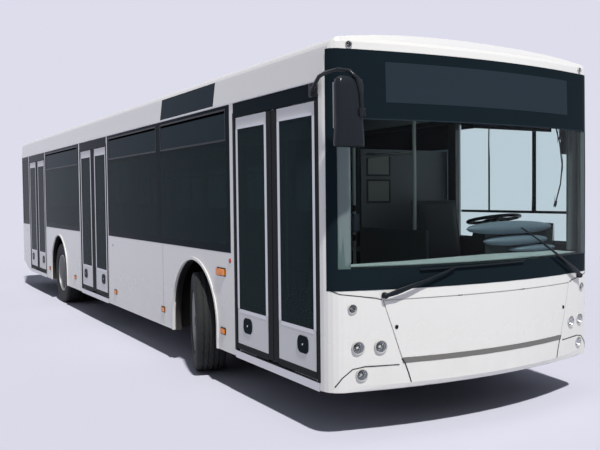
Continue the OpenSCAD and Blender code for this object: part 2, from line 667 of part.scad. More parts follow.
module front_wheel() translate([0, -wheel_off, hub_z]) rotate([90, 0, 0]) {
    difference() {
        union() {
            rotate_extrude($fn = 96) rim_profile(60);
            translate([0, 0, 45]) cylinder(r = 151, h = 30);
            cylinder(r = 80, h = 110);
        }
        translate([0, 0, -200]) cylinder(r = 40 + seat_gap, h = 245);
    }
}
module rear_wheel() translate([rear_axle_x, -rear_tyre_y, hub_z]) rotate([90, 0, 0]) {
    difference() {
        union() {
            rotate_extrude($fn = 96) rim_profile(-70);
            translate([0, 0, -twin_pitch]) mirror([0, 0, 1]) rotate_extrude($fn = 96) rim_profile(-70);
            translate([0, 0, -twin_pitch + 40]) cylinder(r = 151, h = twin_pitch - 90);
            translate([0, 0, -80]) cylinder(r = 90, h = 110);
        }
        translate([0, 0, -600]) cylinder(r = 50.3, h = 560);
    }
}

floor();
wheel_housings();
underframe();
side_wall_left();
side_wall_right();
door_guides();
roof();
roof_hatches();
rear_wall();
engine_hatch();
engine_cover();
engine();
front_mask();
front_flap();
windshield();
side_glass();
front_display();
side_display();
front_lamps();
side_markers();
rear_lamps();
dashboard();
steering_wheel();
driver_seat();
driver_partition();
passenger_seats();
handrails();
mirrors();
wipers();
front_axle();
rear_axle();
color("dimgray") steered(1) knuckle();  // knuckle_left
color("dimgray") steered(-1) knuckle();  // knuckle_right
color("black") steered(1) translate([0, -wheel_off, hub_z]) tyre();  // tyre_front_left
color("black") steered(-1) translate([0, -wheel_off, hub_z]) tyre();  // tyre_front_right
color("black")  // tyre_rear_left
    for (k = [0, 1]) translate([rear_axle_x, rear_tyre_y - k * twin_pitch, hub_z]) tyre();
color("black")  // tyre_rear_right
    for (k = [0, 1]) translate([rear_axle_x, -rear_tyre_y + k * twin_pitch, hub_z]) tyre();
color("silver") steered(1) front_wheel();  // wheel_front_left
color("silver") steered(-1) front_wheel();  // wheel_front_right
color("silver") mirror([0, 1, 0]) rear_wheel();  // wheel_rear_left
color("silver") rear_wheel();  // wheel_rear_right
for (d = [1:3]) {
    arm_piece(d, -1);
    arm_piece(d, 1);
    leaf_piece(d, -1);
    leaf_piece(d, 1);
    pane_piece(d, -1);
    pane_piece(d, 1);
}
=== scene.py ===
# %% [markdown]
# # A low-floor city bus
# The construction of this bus, with its walls, doors, wheels and joints, comes in as a fixed frame.
# This file dresses it: every surface gets a finish, and the small forms that a bus is known by, such
# as tyre tread, wheel nuts, door rubbers, lamps, wipers and seats, are worked out as meshes.

# %% Load the construction
import json
import math

import bmesh
import bpy
import numpy as np
from mathutils import Matrix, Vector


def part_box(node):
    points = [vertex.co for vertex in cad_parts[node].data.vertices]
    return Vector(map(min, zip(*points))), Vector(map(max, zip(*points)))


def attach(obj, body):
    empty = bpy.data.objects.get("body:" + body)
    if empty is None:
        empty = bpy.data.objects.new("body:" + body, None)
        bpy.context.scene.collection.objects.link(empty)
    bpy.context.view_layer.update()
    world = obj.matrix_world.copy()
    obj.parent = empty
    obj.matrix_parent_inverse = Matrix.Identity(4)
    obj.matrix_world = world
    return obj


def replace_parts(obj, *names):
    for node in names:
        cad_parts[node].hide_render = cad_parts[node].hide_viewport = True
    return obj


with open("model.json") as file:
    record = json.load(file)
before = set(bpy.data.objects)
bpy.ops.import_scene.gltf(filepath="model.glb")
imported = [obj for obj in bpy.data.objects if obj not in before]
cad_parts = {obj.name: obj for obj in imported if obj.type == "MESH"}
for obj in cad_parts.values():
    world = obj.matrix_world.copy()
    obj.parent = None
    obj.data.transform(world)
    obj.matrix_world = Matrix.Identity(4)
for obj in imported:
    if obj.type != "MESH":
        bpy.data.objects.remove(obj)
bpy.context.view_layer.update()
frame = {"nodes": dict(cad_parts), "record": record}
nodes = frame["nodes"]
print("solids in the frame:", len(nodes))

# %% [markdown]
# ## The camera
# The photographer stood at the front right corner, at about eye height, and the picture is a part of
# a wider one: its optical centre lies right of the middle. The lens is given by its focal length in
# pixels of a picture 600 wide, and the shift moves the optical centre.

# %% Camera
PICTURE_W = 600
FOCAL = 774.07
OPTICAL_CENTRE_X = 350.0
EYE = (10.132, -3.895, 1.652)
YAW, PITCH, ROLL = (math.radians(a) for a in (147.823, -2.161, -0.493))


def camera_axes(yaw, pitch, roll):
    """Right, up and forward of a level view turned by yaw, tipped by pitch and rolled about its own axis."""
    forward = np.array([math.cos(yaw) * math.cos(pitch), math.sin(yaw) * math.cos(pitch), math.sin(pitch)])
    level = np.array([math.sin(yaw), -math.cos(yaw), 0.0])
    above = np.cross(level, forward)
    right = level * math.cos(roll) + above * math.sin(roll)
    up = above * math.cos(roll) - level * math.sin(roll)
    return right, up, forward


def placed(right, up, back, at=(0, 0, 0)):
    """The matrix of a thing at a point whose own axes look right, up and back."""
    matrix = np.eye(4)
    matrix[:3] = np.stack([right, up, back, at], axis=1)
    return Matrix(matrix.tolist())


right, up, forward = camera_axes(YAW, PITCH, ROLL)
lens = bpy.data.cameras.new("camera")
lens.sensor_width = 36.0
lens.lens = FOCAL * lens.sensor_width / PICTURE_W
lens.shift_x = (PICTURE_W / 2 - OPTICAL_CENTRE_X) / PICTURE_W
lens.clip_end = 200.0
camera = bpy.data.objects.new("camera", lens)
camera.matrix_world = placed(right, up, -forward, EYE)
scene = bpy.context.scene
scene.collection.objects.link(camera)
scene.camera = camera
scene.view_settings.view_transform = "Standard"
print("camera looks along", np.round(forward, 3))

# %% [markdown]
# ## Shapes as arrays
# A shape is a pair: an array of points, and a list of arrays of corner numbers. Every maker below
# works its points out as whole arrays, so that a tyre with thousands of faces costs one formula.


# %% Shape helpers
def unit(v):
    """A vector, or each row of an array of vectors, at length 1."""
    v = np.asarray(v, float)
    return v / np.linalg.norm(v, axis=-1, keepdims=True)


def grid_faces(rows, columns, loop_rows=False, loop_columns=False):
    """Quads between the points of a grid; a looped direction joins its last points to its first."""
    row = np.arange(rows if loop_rows else rows - 1)
    column = np.arange(columns if loop_columns else columns - 1)
    a, b = np.meshgrid(row, column, indexing="ij")
    c, d = (a + 1) % rows, (b + 1) % columns
    return np.stack([a * columns + b, c * columns + b, c * columns + d, a * columns + d], -1).reshape(-1, 4)


def joined(shapes):
    """One shape out of several: the points one after another, the corner numbers moved up to match."""
    points, faces, start = [], [], 0
    for p, f in shapes:
        points.append(p)
        faces += [k + start for k in f]
        start += len(p)
    return np.concatenate(points), faces


def loft(sections, closed=False):
    """Joins outlines of the same count one after another; caps end it, or else the last meets the first."""
    sections = np.asarray(sections, float)
    m, n = sections.shape[:2]
    faces = [grid_faces(m, n, closed, True)]
    if not closed:
        faces += [np.arange(n)[None, ::-1], np.arange((m - 1) * n, m * n)[None]]
    return sections.reshape(-1, 3), faces


def sweep(path, profile, ref=(0, 0, 1), closed=False):
    """Carries an outline along a path: point = path + side * u + normal * v, side at right angles to ref."""
    path = np.asarray(path, float)
    ahead = np.roll(path, -1, 0) - np.roll(path, 1, 0)
    if not closed:
        ahead[0], ahead[-1] = path[1] - path[0], path[-1] - path[-2]
    side = unit(np.cross(ahead, ref))
    normal = unit(np.cross(side, ahead))
    return loft(path[:, None] + side[:, None] * profile[:, :1] + normal[:, None] * profile[:, 1:], closed)


def round_outline(w, h, r, steps=4):
    """A rectangle w by h whose corners are arcs of radius r, centred on the origin."""
    a = np.radians(np.arange(4)[:, None] * 90 + np.linspace(0, 90, steps + 1)[None])
    cx = np.array([1, -1, -1, 1])[:, None] * (w / 2 - r)
    cy = np.array([1, 1, -1, -1])[:, None] * (h / 2 - r)
    return np.stack([cx + r * np.cos(a), cy + r * np.sin(a)], -1).reshape(-1, 2)


def circle(r, sides=12):
    """A regular outline of radius r."""
    a = np.arange(sides) * 2 * np.pi / sides
    return np.stack([r * np.cos(a), r * np.sin(a)], -1)


def tube(path, r, sides, ref):
    """A round bar along a path."""
    return sweep(path, circle(r, sides), ref)


def lathe(profile, centre, axis, steps):
    """Turns an outline of (radius, height) rows about an axis; rows at radius 0 close the ends."""
    profile, axis = np.asarray(profile, float), unit(axis)
    u = unit(np.cross(axis, (0.3, 0.5, 0.8)))
    v = np.cross(axis, u)
    a = np.arange(steps) * 2 * np.pi / steps
    ring = np.cos(a)[:, None] * u + np.sin(a)[:, None] * v
    points = np.asarray(centre) + ring[:, None] * profile[None, :, :1] + axis * profile[None, :, 1:]
    return points.reshape(-1, 3), [grid_faces(steps, len(profile), True, False)]


def boxes(low, high, edge):
    """Boxes with their edges cut off: each corner becomes three points, edge away from the corner's faces."""
    low, high = np.atleast_2d(np.asarray(low, float)), np.atleast_2d(np.asarray(high, float))
    sign = np.array([[i & 1, i >> 1 & 1, i >> 2 & 1] for i in range(8)])
    corner = np.where(sign[None], high[:, None], low[:, None])
    inward = np.where(sign, -1.0, 1.0)
    cut = np.minimum(edge, (high - low).min(1) * 0.45)[:, None, None, None]
    points = corner[:, :, None] + cut * inward[None, :, None] * (1 - np.eye(3))[None, None]
    at = np.arange(24).reshape(8, 3)
    quads, tris = [], []
    for k in range(3):
        ka, kb = (k + 1) % 3, (k + 2) % 3
        a, b, c = 1 << ka, 1 << kb, 1 << k
        for s in (0, c):
            ring = [at[s, k], at[s + a, k], at[s + a + b, k], at[s + b, k]]
            quads.append(ring if s else ring[::-1])
        for i in (0, b, a, a + b):
            ring = [at[i, ka], at[i + c, ka], at[i + c, kb], at[i, kb]]
            quads.append(ring if i in (0, a + b) else ring[::-1])
    for i in range(8):
        tris.append(at[i] if bin(i).count("1") % 2 else at[i, ::-1])
    step = (np.arange(len(low)) * 24)[:, None, None]
    faces = [(np.array(f)[None] + step).reshape(len(low) * len(f), -1) for f in (quads, tris)]
    return points.reshape(-1, 3), faces


def shell(outer, inner):
    """A closed sheet between two grids of points: both faces and the quads round their border."""
    m, n = outer.shape[:2]
    k = m * n
    faces = grid_faces(m, n)
    there, down = np.arange(n - 1), np.arange(m - 1) * n + n - 1
    back, home = (m - 1) * n + np.arange(n - 1, 0, -1), np.arange(m - 1, 0, -1) * n
    ring = np.concatenate([there, down, back, home])
    after = np.roll(ring, -1)
    points = np.concatenate([outer.reshape(-1, 3), inner.reshape(-1, 3)])
    return points, [faces, faces[:, ::-1] + k, np.stack([ring, ring + k, after + k, after], 1)]


def both_sides(shape):
    """A shape and its mirror image across the bus's middle, whose faces are turned round."""
    points, faces = shape
    return joined([shape, (points * [1, -1, 1], [f[:, ::-1] for f in faces])])


# The slots of the construction, each with the finishes below that belong to it under another name
finishes, made = {}, {}


def piece(name, shape, material="black_plastic", body="root", sharp=35):
    """Makes an object of a shape or of a list of shapes, faces outwards; dresses it and sets it on a body."""
    points, faces = joined(shape) if isinstance(shape, list) else shape
    mesh = bpy.data.meshes.new(name)
    mesh.from_pydata(points.tolist(), [], [f for k in faces for f in k.tolist()])
    bm = bmesh.new()
    bm.from_mesh(mesh)
    bmesh.ops.remove_doubles(bm, verts=bm.verts, dist=1e-6)
    bmesh.ops.recalc_face_normals(bm, faces=bm.faces)
    bm.to_mesh(mesh)
    bm.free()
    mesh.polygons.foreach_set("use_smooth", np.ones(len(mesh.polygons), bool))
    mesh.set_sharp_from_angle(angle=math.radians(sharp))
    mesh.materials.append(finishes[material])
    obj = bpy.data.objects.new(name, mesh)
    scene.collection.objects.link(obj)
    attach(obj, body)
    made[name] = len(mesh.polygons)
    return obj


# %% [markdown]
# ## Shared effects
# Paint, rubber and plastic all need the same few effects: a slow change of tone, a fine grain, and
# the film of road dust that thins out with height. Each is a node group, built once.


# %% Shader groups
def feed(tree, target, **values):
    """Sets a node's inputs by name, or as in_N by number; _ is a space, and a socket becomes a link."""
    for key, value in values.items():
        socket = target.inputs[int(key[3:]) if key.startswith("in_") else key.replace("_", " ")]
        if isinstance(value, bpy.types.NodeSocket):
            tree.links.new(value, socket)
        else:
            socket.default_value = value
    return target


def node(tree, kind, **values):
    """A new node with its inputs fed; the names in small letters are its settings."""
    new = tree.nodes.new("ShaderNode" + kind)
    for key in [k for k in values if k[0].islower() and not k.startswith("in_")]:
        setattr(new, key, values.pop(key))
    return feed(tree, new, **values)


def maths(tree, operation, *values, clamp=False):
    """The result of one operation on numbers or sockets."""
    inputs = {f"in_{i}": value for i, value in enumerate(values)}
    return node(tree, "Math", operation=operation, use_clamp=clamp, **inputs).outputs[0]


def blend(tree, share, first, second):
    """A colour that lies a share of the way from the first to the second."""
    return node(tree, "Mix", data_type="RGBA", Factor=share, in_6=first, in_7=second).outputs[2]


def mix_shaders(tree, share, first, second, end):
    """Feeds a mix of two shaders, from the first to the second, into the end node."""
    mix = node(tree, "MixShader", Fac=share, in_1=first.outputs[0], in_2=second.outputs[0])
    feed(tree, tree.nodes[end], Surface=mix.outputs[0])


def object_place(tree):
    """The point that is being shaded, in the object's own frame."""
    return node(tree, "TexCoord").outputs["Object"]


FLOAT, COLOR, VECTOR = "NodeSocketFloat", "NodeSocketColor", "NodeSocketVector"
WHITE, ROAD_DUST = (1, 1, 1, 1), (0.33, 0.30, 0.26, 1)


def new_group(name, inputs, outputs):
    """A shader group with named sockets, as its tree and both ends; inputs are (name, kind, default) rows."""
    tree = bpy.data.node_groups.new(name, "ShaderNodeTree")
    for label, kind, value in inputs:
        tree.interface.new_socket(name=label, in_out="INPUT", socket_type=kind).default_value = value
    for label, kind in outputs:
        tree.interface.new_socket(name=label, in_out="OUTPUT", socket_type=kind)
    return tree, tree.nodes.new("NodeGroupInput").outputs, tree.nodes.new("NodeGroupOutput")


def tone_group():
    """Colour times a slow noise, so that no large surface is one flat tone."""
    inputs = [("Color", COLOR, WHITE), ("Amount", FLOAT, 0.05), ("Scale", FLOAT, 3.0)]
    tree, start, end = new_group("tone", inputs, [("Color", COLOR)])
    noise = node(tree, "TexNoise", Vector=object_place(tree), Scale=start["Scale"], Detail=4.0)
    centred = maths(tree, "SUBTRACT", noise.outputs["Fac"], 0.5)
    scaled = maths(tree, "MULTIPLY_ADD", centred, start["Amount"], 1.0)
    mixed = node(tree, "VectorMath", operation="SCALE", in_0=start["Color"], Scale=scaled)
    feed(tree, end, Color=mixed.outputs[0])
    return tree


def grain_group():
    """A bump from fine noise, of a given scale and depth in metres."""
    inputs = [("Scale", FLOAT, 300.0), ("Depth", FLOAT, 0.0003)]
    tree, start, end = new_group("grain", inputs, [("Normal", VECTOR)])
    noise = node(tree, "TexNoise", Vector=object_place(tree), Scale=start["Scale"], Detail=3.0)
    bump = node(tree, "Bump", Height=noise.outputs["Fac"], Distance=start["Depth"], Strength=1.0)
    feed(tree, end, Normal=bump.outputs["Normal"])
    return tree


def road_film_group():
    """Dust from the road: full at the ground, gone at the height Top, broken up by noise."""
    inputs = [("Color", COLOR, WHITE), ("Roughness", FLOAT, 0.3), ("Amount", FLOAT, 0.4), ("Top", FLOAT, 1.0)]
    tree, start, end = new_group("road_film", inputs, [("Color", COLOR), ("Roughness", FLOAT)])
    place = object_place(tree)
    height = node(tree, "SeparateXYZ", Vector=place).outputs["Z"]
    low = node(tree, "MapRange", Value=height, in_1=0.2, in_2=start["Top"], in_3=1.0, in_4=0.0)
    noise = node(tree, "TexNoise", Vector=place, Scale=6.0, Detail=6.0)
    broken = maths(tree, "MULTIPLY", low.outputs[0], noise.outputs["Fac"])
    mask = maths(tree, "MULTIPLY", broken, start["Amount"], clamp=True)
    dull = maths(tree, "MULTIPLY_ADD", mask, 0.5, start["Roughness"])
    feed(tree, end, Color=blend(tree, mask, start["Color"], ROAD_DUST), Roughness=dull)
    return tree


TONE, GRAIN, ROAD_FILM = tone_group(), grain_group(), road_film_group()

# %% [markdown]
# ## Finishes
# A finish starts from a colour and a roughness. Tone, grain and road film are added to taste, and
# sheen or clear coat is set on the shader itself.


# %% Finish helpers
def finish(name, color, roughness, tone, grain=None, tone_scale=3.0, film=0.0, film_top=1.0, **values):
    """Makes a material with the shared effects: grain is (scale, depth), film is the strength of the dust."""
    mat = bpy.data.materials.new(name)
    mat.use_nodes = True
    tree = mat.node_tree
    shader = feed(tree, tree.nodes["Principled BSDF"], Roughness=roughness)
    out = node(tree, "Group", node_tree=TONE, Color=(*color, 1), Amount=tone, Scale=tone_scale).outputs
    if film:
        dust = {"Color": out["Color"], "Roughness": roughness, "Amount": film, "Top": film_top}
        out = node(tree, "Group", node_tree=ROAD_FILM, **dust).outputs
        feed(tree, shader, Roughness=out["Roughness"])
    if grain:
        bump = node(tree, "Group", node_tree=GRAIN, Scale=grain[0], Depth=grain[1])
        feed(tree, shader, Normal=bump.outputs["Normal"])
    feed(tree, shader, Base_Color=out["Color"], **values)
    finishes[name] = mat
    return tree, shader


def region(tree, *limits):
    """1 where every limit holds and 0 elsewhere; a limit is an axis, a relation and a place on that axis."""
    place = node(tree, "SeparateXYZ", Vector=object_place(tree))
    mask = 1.0
    for axis, relation, value in limits:
        mask = maths(tree, "MULTIPLY", mask, maths(tree, relation, place.outputs[axis], value))
    return mask


def glass(name, tint, through, ior, clear=1.0):
    """Tinted glass: shadow and diffuse rays go straight through, so that the inside isn't dark."""
    tree, shader = finish(name, tint, 0.01, 0.02, Transmission_Weight=clear, IOR=ior)
    ray = node(tree, "LightPath").outputs
    passing = maths(tree, "MAXIMUM", ray["Is Shadow Ray"], ray["Is Diffuse Ray"])
    straight = node(tree, "BsdfTransparent", Color=(*through, 1))
    mix_shaders(tree, passing, shader, straight, "Material Output")
    return tree, shader, straight, passing


# %% Paint, rubber, metal and plastic
tree, shader = finish("body_paint", (0.75, 0.75, 0.73), 0.25, 0.04, (900, 0.00002), 1.5, 0.25,
                      Coat_Weight=0.3, Coat_Roughness=0.06)
# Above the skirt and below the cove, what lies deeper than the panes is the dark trim of the cabin
TRIM_FROM_Y, TRIM_LOW, TRIM_TOP, TRIM_REAR, TRIM_FRONT = 1.2625, 0.60, 2.430, -5.870, 5.575
DARK_TRIM = (0.06, 0.065, 0.065, 1)
trim = region(tree, ("Y", "LESS_THAN", TRIM_FROM_Y), ("Y", "GREATER_THAN", -TRIM_FROM_Y),
              ("Z", "GREATER_THAN", TRIM_LOW), ("Z", "LESS_THAN", TRIM_TOP),
              ("X", "LESS_THAN", TRIM_FRONT), ("X", "GREATER_THAN", TRIM_REAR))
painted = shader.inputs["Base Color"].links[0].from_socket
feed(tree, shader, Base_Color=blend(tree, trim, painted, DARK_TRIM))

# Grain is given as its scale and its depth in metres; the numbers after it are the scale of the tone,
# the strength of the road film and the height at which the film ends
PLAIN_GRAIN, SMOOTH_GRAIN, CLOTH_GRAIN = (900, 0.0001), (900, 0.00002), (1500, 0.0003)
finish("frame_paint", (0.006, 0.006, 0.007), 0.6, 0.4, (260, 0.0003), 3.0, 0.3, 0.8, Specular_IOR_Level=0.15)
finish("rubber", (0.008, 0.010, 0.011), 0.6, 0.3, (500, 0.0001), 12.0, Specular_IOR_Level=0.1)
finish("tyre_rubber", (0.015, 0.018, 0.019), 0.75, 0.35, (420, 2e-4), 9.0, 0.05, 1.2, Specular_IOR_Level=0.25)
finish("black_plastic", (0.009, 0.013, 0.017), 0.38, 0.2, (1400, 0.00008), Specular_IOR_Level=0.15)
finish("mirror_shell", (0.010, 0.014, 0.018), 0.24, 0.15, (1400, 0.00004), Specular_IOR_Level=0.20)
finish("gloss_black", (0.009, 0.016, 0.021), 0.15, 0.1, Specular_IOR_Level=0.008)
finish("aluminium", (0.62, 0.63, 0.64), 0.36, 0.06, (700, 0.00005), 8.0, Metallic=0.85)
finish("door_paint", (0.62, 0.63, 0.64), 0.35, 0.05, (900, 0.00003))
finish("steel", (0.32, 0.33, 0.34), 0.42, 0.15, (300, 0.0001), Metallic=1.0)
finish("rim_paint", (0.50, 0.51, 0.52), 0.34, 0.12, (800, 0.00005), 8.0, 0.7, 1.1, Metallic=0.5)
finish("chrome", (0.8, 0.81, 0.82), 0.08, 0.03, Metallic=1.0)
finish("deck_vinyl", (0.10, 0.105, 0.11), 0.65, 0.5, (500, 0.0001), 260.0)
# The right pillar cover and band get lighter tones as painted light, and the left ones darker tones as
# painted shade; the left cover shares the inner panels' tone
for name, color, roughness in (
    ("inner_panel", (0.10, 0.11, 0.11), 0.5), ("panel_beige", (0.21, 0.21, 0.18), 0.5),
    ("ledge_grey", (0.62, 0.63, 0.67), 0.6), ("lining", (0.185, 0.195, 0.200), 0.6),
    ("pillar_band_lit", (0.130, 0.172, 0.176), 0.6), ("pillar_band_shaded", (0.048, 0.070, 0.075), 0.6),
):
    finish(name, color, roughness, 0.06, PLAIN_GRAIN)
finish("dash_skin", (0.025, 0.030, 0.033), 0.55, 0.08, (900, 0.0002), Specular_IOR_Level=0.2)
finish("hood_skin", (0.175, 0.205, 0.270), 0.55, 0.08, (900, 0.0002))
# Painted shade: the grey of the sheet in the slot under the front flap, in place of white paint in shade
finish("liner_grey", (0.150, 0.148, 0.138), 0.5, 0.08, PLAIN_GRAIN)
finish("bezel_grey", (0.50, 0.50, 0.49), 0.3, 0.04, SMOOTH_GRAIN)
finish("seat_shell", (0.05, 0.09, 0.17), 0.35, 0.08, (1200, 0.0001))
finish("seat_cloth", (0.035, 0.07, 0.16), 0.85, 0.25, CLOTH_GRAIN, 40.0, Sheen_Weight=0.3)
finish("driver_cloth", (0.03, 0.032, 0.036), 0.85, 0.3, CLOTH_GRAIN, Sheen_Weight=0.3)
finish("rail_coat", (0.62, 0.62, 0.58), 0.3, 0.04, (1200, 0.00004))
finish("iron", (0.09, 0.095, 0.10), 0.6, 0.4, (180, 0.0006), 20.0, Metallic=0.4)
finish("amber_lens", (0.85, 0.24, 0.01), 0.18, 0.15, (400, 0.0001), 60.0)
finish("red_lens", (0.45, 0.01, 0.01), 0.15, 0.15, (400, 0.0001), 60.0)
finish("lamp_core", (0.70, 0.71, 0.66), 0.25, 0.1, tone_scale=40.0)
finish("lamp_bowl", (0.50, 0.51, 0.52), 0.12, 0.25, tone_scale=90.0, Metallic=1.0)
finish("hopper_tint", (0.026, 0.040, 0.050), 0.2, 0.1, Specular_IOR_Level=0.006)
finish("display_face", (0.024, 0.036, 0.047), 0.25, 0.06, (220, 0.0002), Specular_IOR_Level=0.008)

# %% Glass
glass("lamp_lens", (0.93, 0.94, 0.95), (0.93, 0.94, 0.95), 1.25)
glass("screen_glass", (0.80, 0.87, 0.86), (0.66, 0.75, 0.73), 1.12)
DARK_TINT, DARK_THROUGH = (0.065, 0.110, 0.120, 1), (0.04, 0.055, 0.06, 1)
PALE_TINT, PALE_THROUGH = (0.85, 0.92, 0.93, 1), (0.93, 0.99, 0.97, 1)
tree, shader, straight, passing = glass("tinted_glass", DARK_TINT[:3], DARK_THROUGH[:3], 1.04, 0.75)
# The driver's window, ahead of this plane on the left, is clear
CLEAR_FROM_X, CLEAR_FROM_Y, CLEAR_SHARE = 3.975, 1.0, 0.92
window = region(tree, ("X", "GREATER_THAN", CLEAR_FROM_X), ("Y", "GREATER_THAN", CLEAR_FROM_Y))
passing = maths(tree, "MAXIMUM", passing, maths(tree, "MULTIPLY", window, CLEAR_SHARE))
feed(tree, tree.nodes["Mix Shader"], in_0=passing)
feed(tree, shader, Base_Color=blend(tree, window, DARK_TINT, PALE_TINT))
feed(tree, straight, Color=blend(tree, window, DARK_THROUGH, PALE_THROUGH))

# %% Finishes of the construction
# By the start of a part's name; where two starts fit, the one lower in the list is taken
DRESSED = {
    "iron": "engine",
    "body_paint": "side_wall roof rear_wall engine_hatch front_mask front_flap",
    "frame_paint": "underframe front_axle rear_axle wipers wheel_housings",
    "tyre_rubber": "tyre",
    "rim_paint": "wheel_front wheel_rear",
    "black_plastic": "mirrors steering_wheel door_guides",
    "display_face": "front_display side_display",
    "deck_vinyl": "floor",
    "inner_panel": "driver_partition engine_cover",
    "dash_skin": "dashboard",
    "seat_shell": "passenger_seats",
    "driver_cloth": "driver_seat",
    "rail_coat": "handrails",
    "steel": "knuckle arm",
    "door_paint": "leaf",
    "amber_lens": "side_markers",
    "red_lens": "rear_lamps",
    "chrome": "front_lamps",
    "screen_glass": "windshield",
    "tinted_glass": "side_glass pane",
}
for material, starts in DRESSED.items():
    for name in (n for n in nodes if n.startswith(tuple(starts.split()))):
        for place in nodes[name].material_slots:
            place.material = finishes[material]

# %% [markdown]
# ## The skin that details sit on
# The front of the bus is one wide arc in plan that runs into two tight corners, and its depth changes
# with height. A function gives the point on that skin for any distance from the middle and height, so
# that bands, seams and lamps can be laid on it without fitting.

# %% Front skin
HALF_W, CORNER_R = 1.275, 0.150
SEAM_X = float(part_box("side_wall_left")[1][0])
NOSE = float(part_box("front_mask")[1][0]) - SEAM_X
# Rows: height, depth before the seam
FRONT_ROWS = np.array([
    [0.320, NOSE - 0.040], [0.330, NOSE - 0.014], [0.360, NOSE], [0.940, NOSE - 0.012],
    [2.640, NOSE - 0.092], [2.685, NOSE - 0.104], [2.714, NOSE - 0.134], [2.736, NOSE - 0.182],
    [2.813, 0.030],
])
WAIST_Z, COVE_Z = 1.180, 2.425
SCREEN_LOW, SCREEN_TOP = 1.010, 2.635
SKIRT_Z, FLOOR_Z = 0.322, 0.370
AHEAD, ALONG_Y, OUT_RIGHT, UP = (1, 0, 0), (0, 1, 0), (0, -1, 0), (0, 0, 1)
SIDES = ((1, "left"), (-1, "right"))


def on_front(y, z, out=0.0):
    """Point on the front skin: a wide arc through the nose, then a corner arc; out moves it off the skin."""
    y, z = np.broadcast_arrays(np.asarray(y, float), np.asarray(z, float))
    depth = np.interp(z, *FRONT_ROWS.T)
    c = np.minimum(CORNER_R, depth / 2)
    r = (depth**2 + HALF_W**2 - 2 * HALF_W * c) / (2 * (depth - c))
    reach = np.clip(np.abs(y) - (HALF_W - c), -1, c)
    turn = np.sqrt(r**2 - y**2)
    bend = np.sqrt(np.maximum(c**2 - reach**2, 0))
    wide = reach < c * np.sin(np.arctan2(HALF_W - c, r - depth))
    x = SEAM_X + np.where(wide, depth - r + turn, bend)
    nx = np.where(wide, turn / r, bend / c)
    ny = np.where(wide, y / r, np.sign(y) * reach / c)
    return np.stack([x + out * nx, y + out * ny, z], -1)


def on_skin(y, z, out, depth):
    """A closed sheet over a grid of places on the front skin: it starts out before it and is depth thick."""
    return shell(on_front(y, z, out + depth), on_front(y, z, out))


def front_sheet(y0, y1, z0, z1, out, depth, columns, rows=6):
    """A rectangle of the front skin as a sheet."""
    return on_skin(*np.meshgrid(np.linspace(y0, y1, columns), np.linspace(z0, z1, rows)), out, depth)


def front_line(corners, width, out=0.0, depth=0.0015, steps=10):
    """A strip on the front skin along (y, z) corners, each stretch cut into equal steps."""
    corners = np.asarray(corners, float)
    t = np.linspace(0, len(corners) - 1, (len(corners) - 1) * steps + 1)
    path = np.stack([np.interp(t, np.arange(len(corners)), corners[:, k]) for k in (0, 1)], -1)
    ahead = np.gradient(path, axis=0)
    across = unit(np.stack([-ahead[:, 1], ahead[:, 0]], -1)) * width / 2
    edges = np.stack([path - across, path + across], 1)
    return on_skin(edges[..., 0], edges[..., 1], out, depth)


def wall_boxes(rows, side, out, deep, edge=0.0008):
    """Plates on a side wall from (x0, x1, z0, z1) rows: out before the wall, deep behind its face."""
    right, left = sorted((side * (HALF_W - deep), side * (HALF_W + out)))
    return boxes([(x0, right, z0) for x0, _, z0, _ in rows], [(x1, left, z1) for _, x1, _, z1 in rows], edge)


def frame_rows(x0, x1, z0, z1, w):
    """The four plates of a rectangular border, w wide, as (x0, x1, z0, z1) rows."""
    low, high = z0 + w, z1 - w
    return [(x0, x1, z0, low), (x0, x1, high, z1), (x0, x0 + w, low, high), (x1 - w, x1, low, high)]


print("front skin reaches", np.round(on_front(0.0, 0.5), 3))

# %% [markdown]
# ## Tyres and wheels
# A bus tyre has broad ribs with wandering grooves, notched shoulders and a sidewall with a few raised
# rings. One grid of radius over angle and width gives all of it: the grooves are dips whose place
# across the tread swings with the angle.

# %% Tyres
TYRE_R, CROWN_HALF, CROWN_DROP = 0.470, 0.112, 0.004
GROOVES, GROOVE_DEEP, SWING = (-0.072, -0.026, 0.026, 0.072), 0.012, 0.0035
NOTCH_DEEP, STEPS_ROUND, TWIN_PITCH = 0.007, 180, 0.312
# Rows of a sidewall from shoulder to bead: radius, distance from the middle plane, share of the notch
SIDEWALL = np.array([
    [0.459, 0.126, 1], [0.449, 0.131, 0.6], [0.437, 0.1345, 0], [0.420, 0.1365, 0], [0.412, 0.1365, 0],
    [0.410, 0.1350, 0], [0.372, 0.1360, 0], [0.350, 0.1345, 0], [0.326, 0.1330, 0], [0.322, 0.1350, 0],
    [0.314, 0.1350, 0], [0.308, 0.1290, 0], [0.296, 0.1220, 0], [0.286, 0.1080, 0],
])


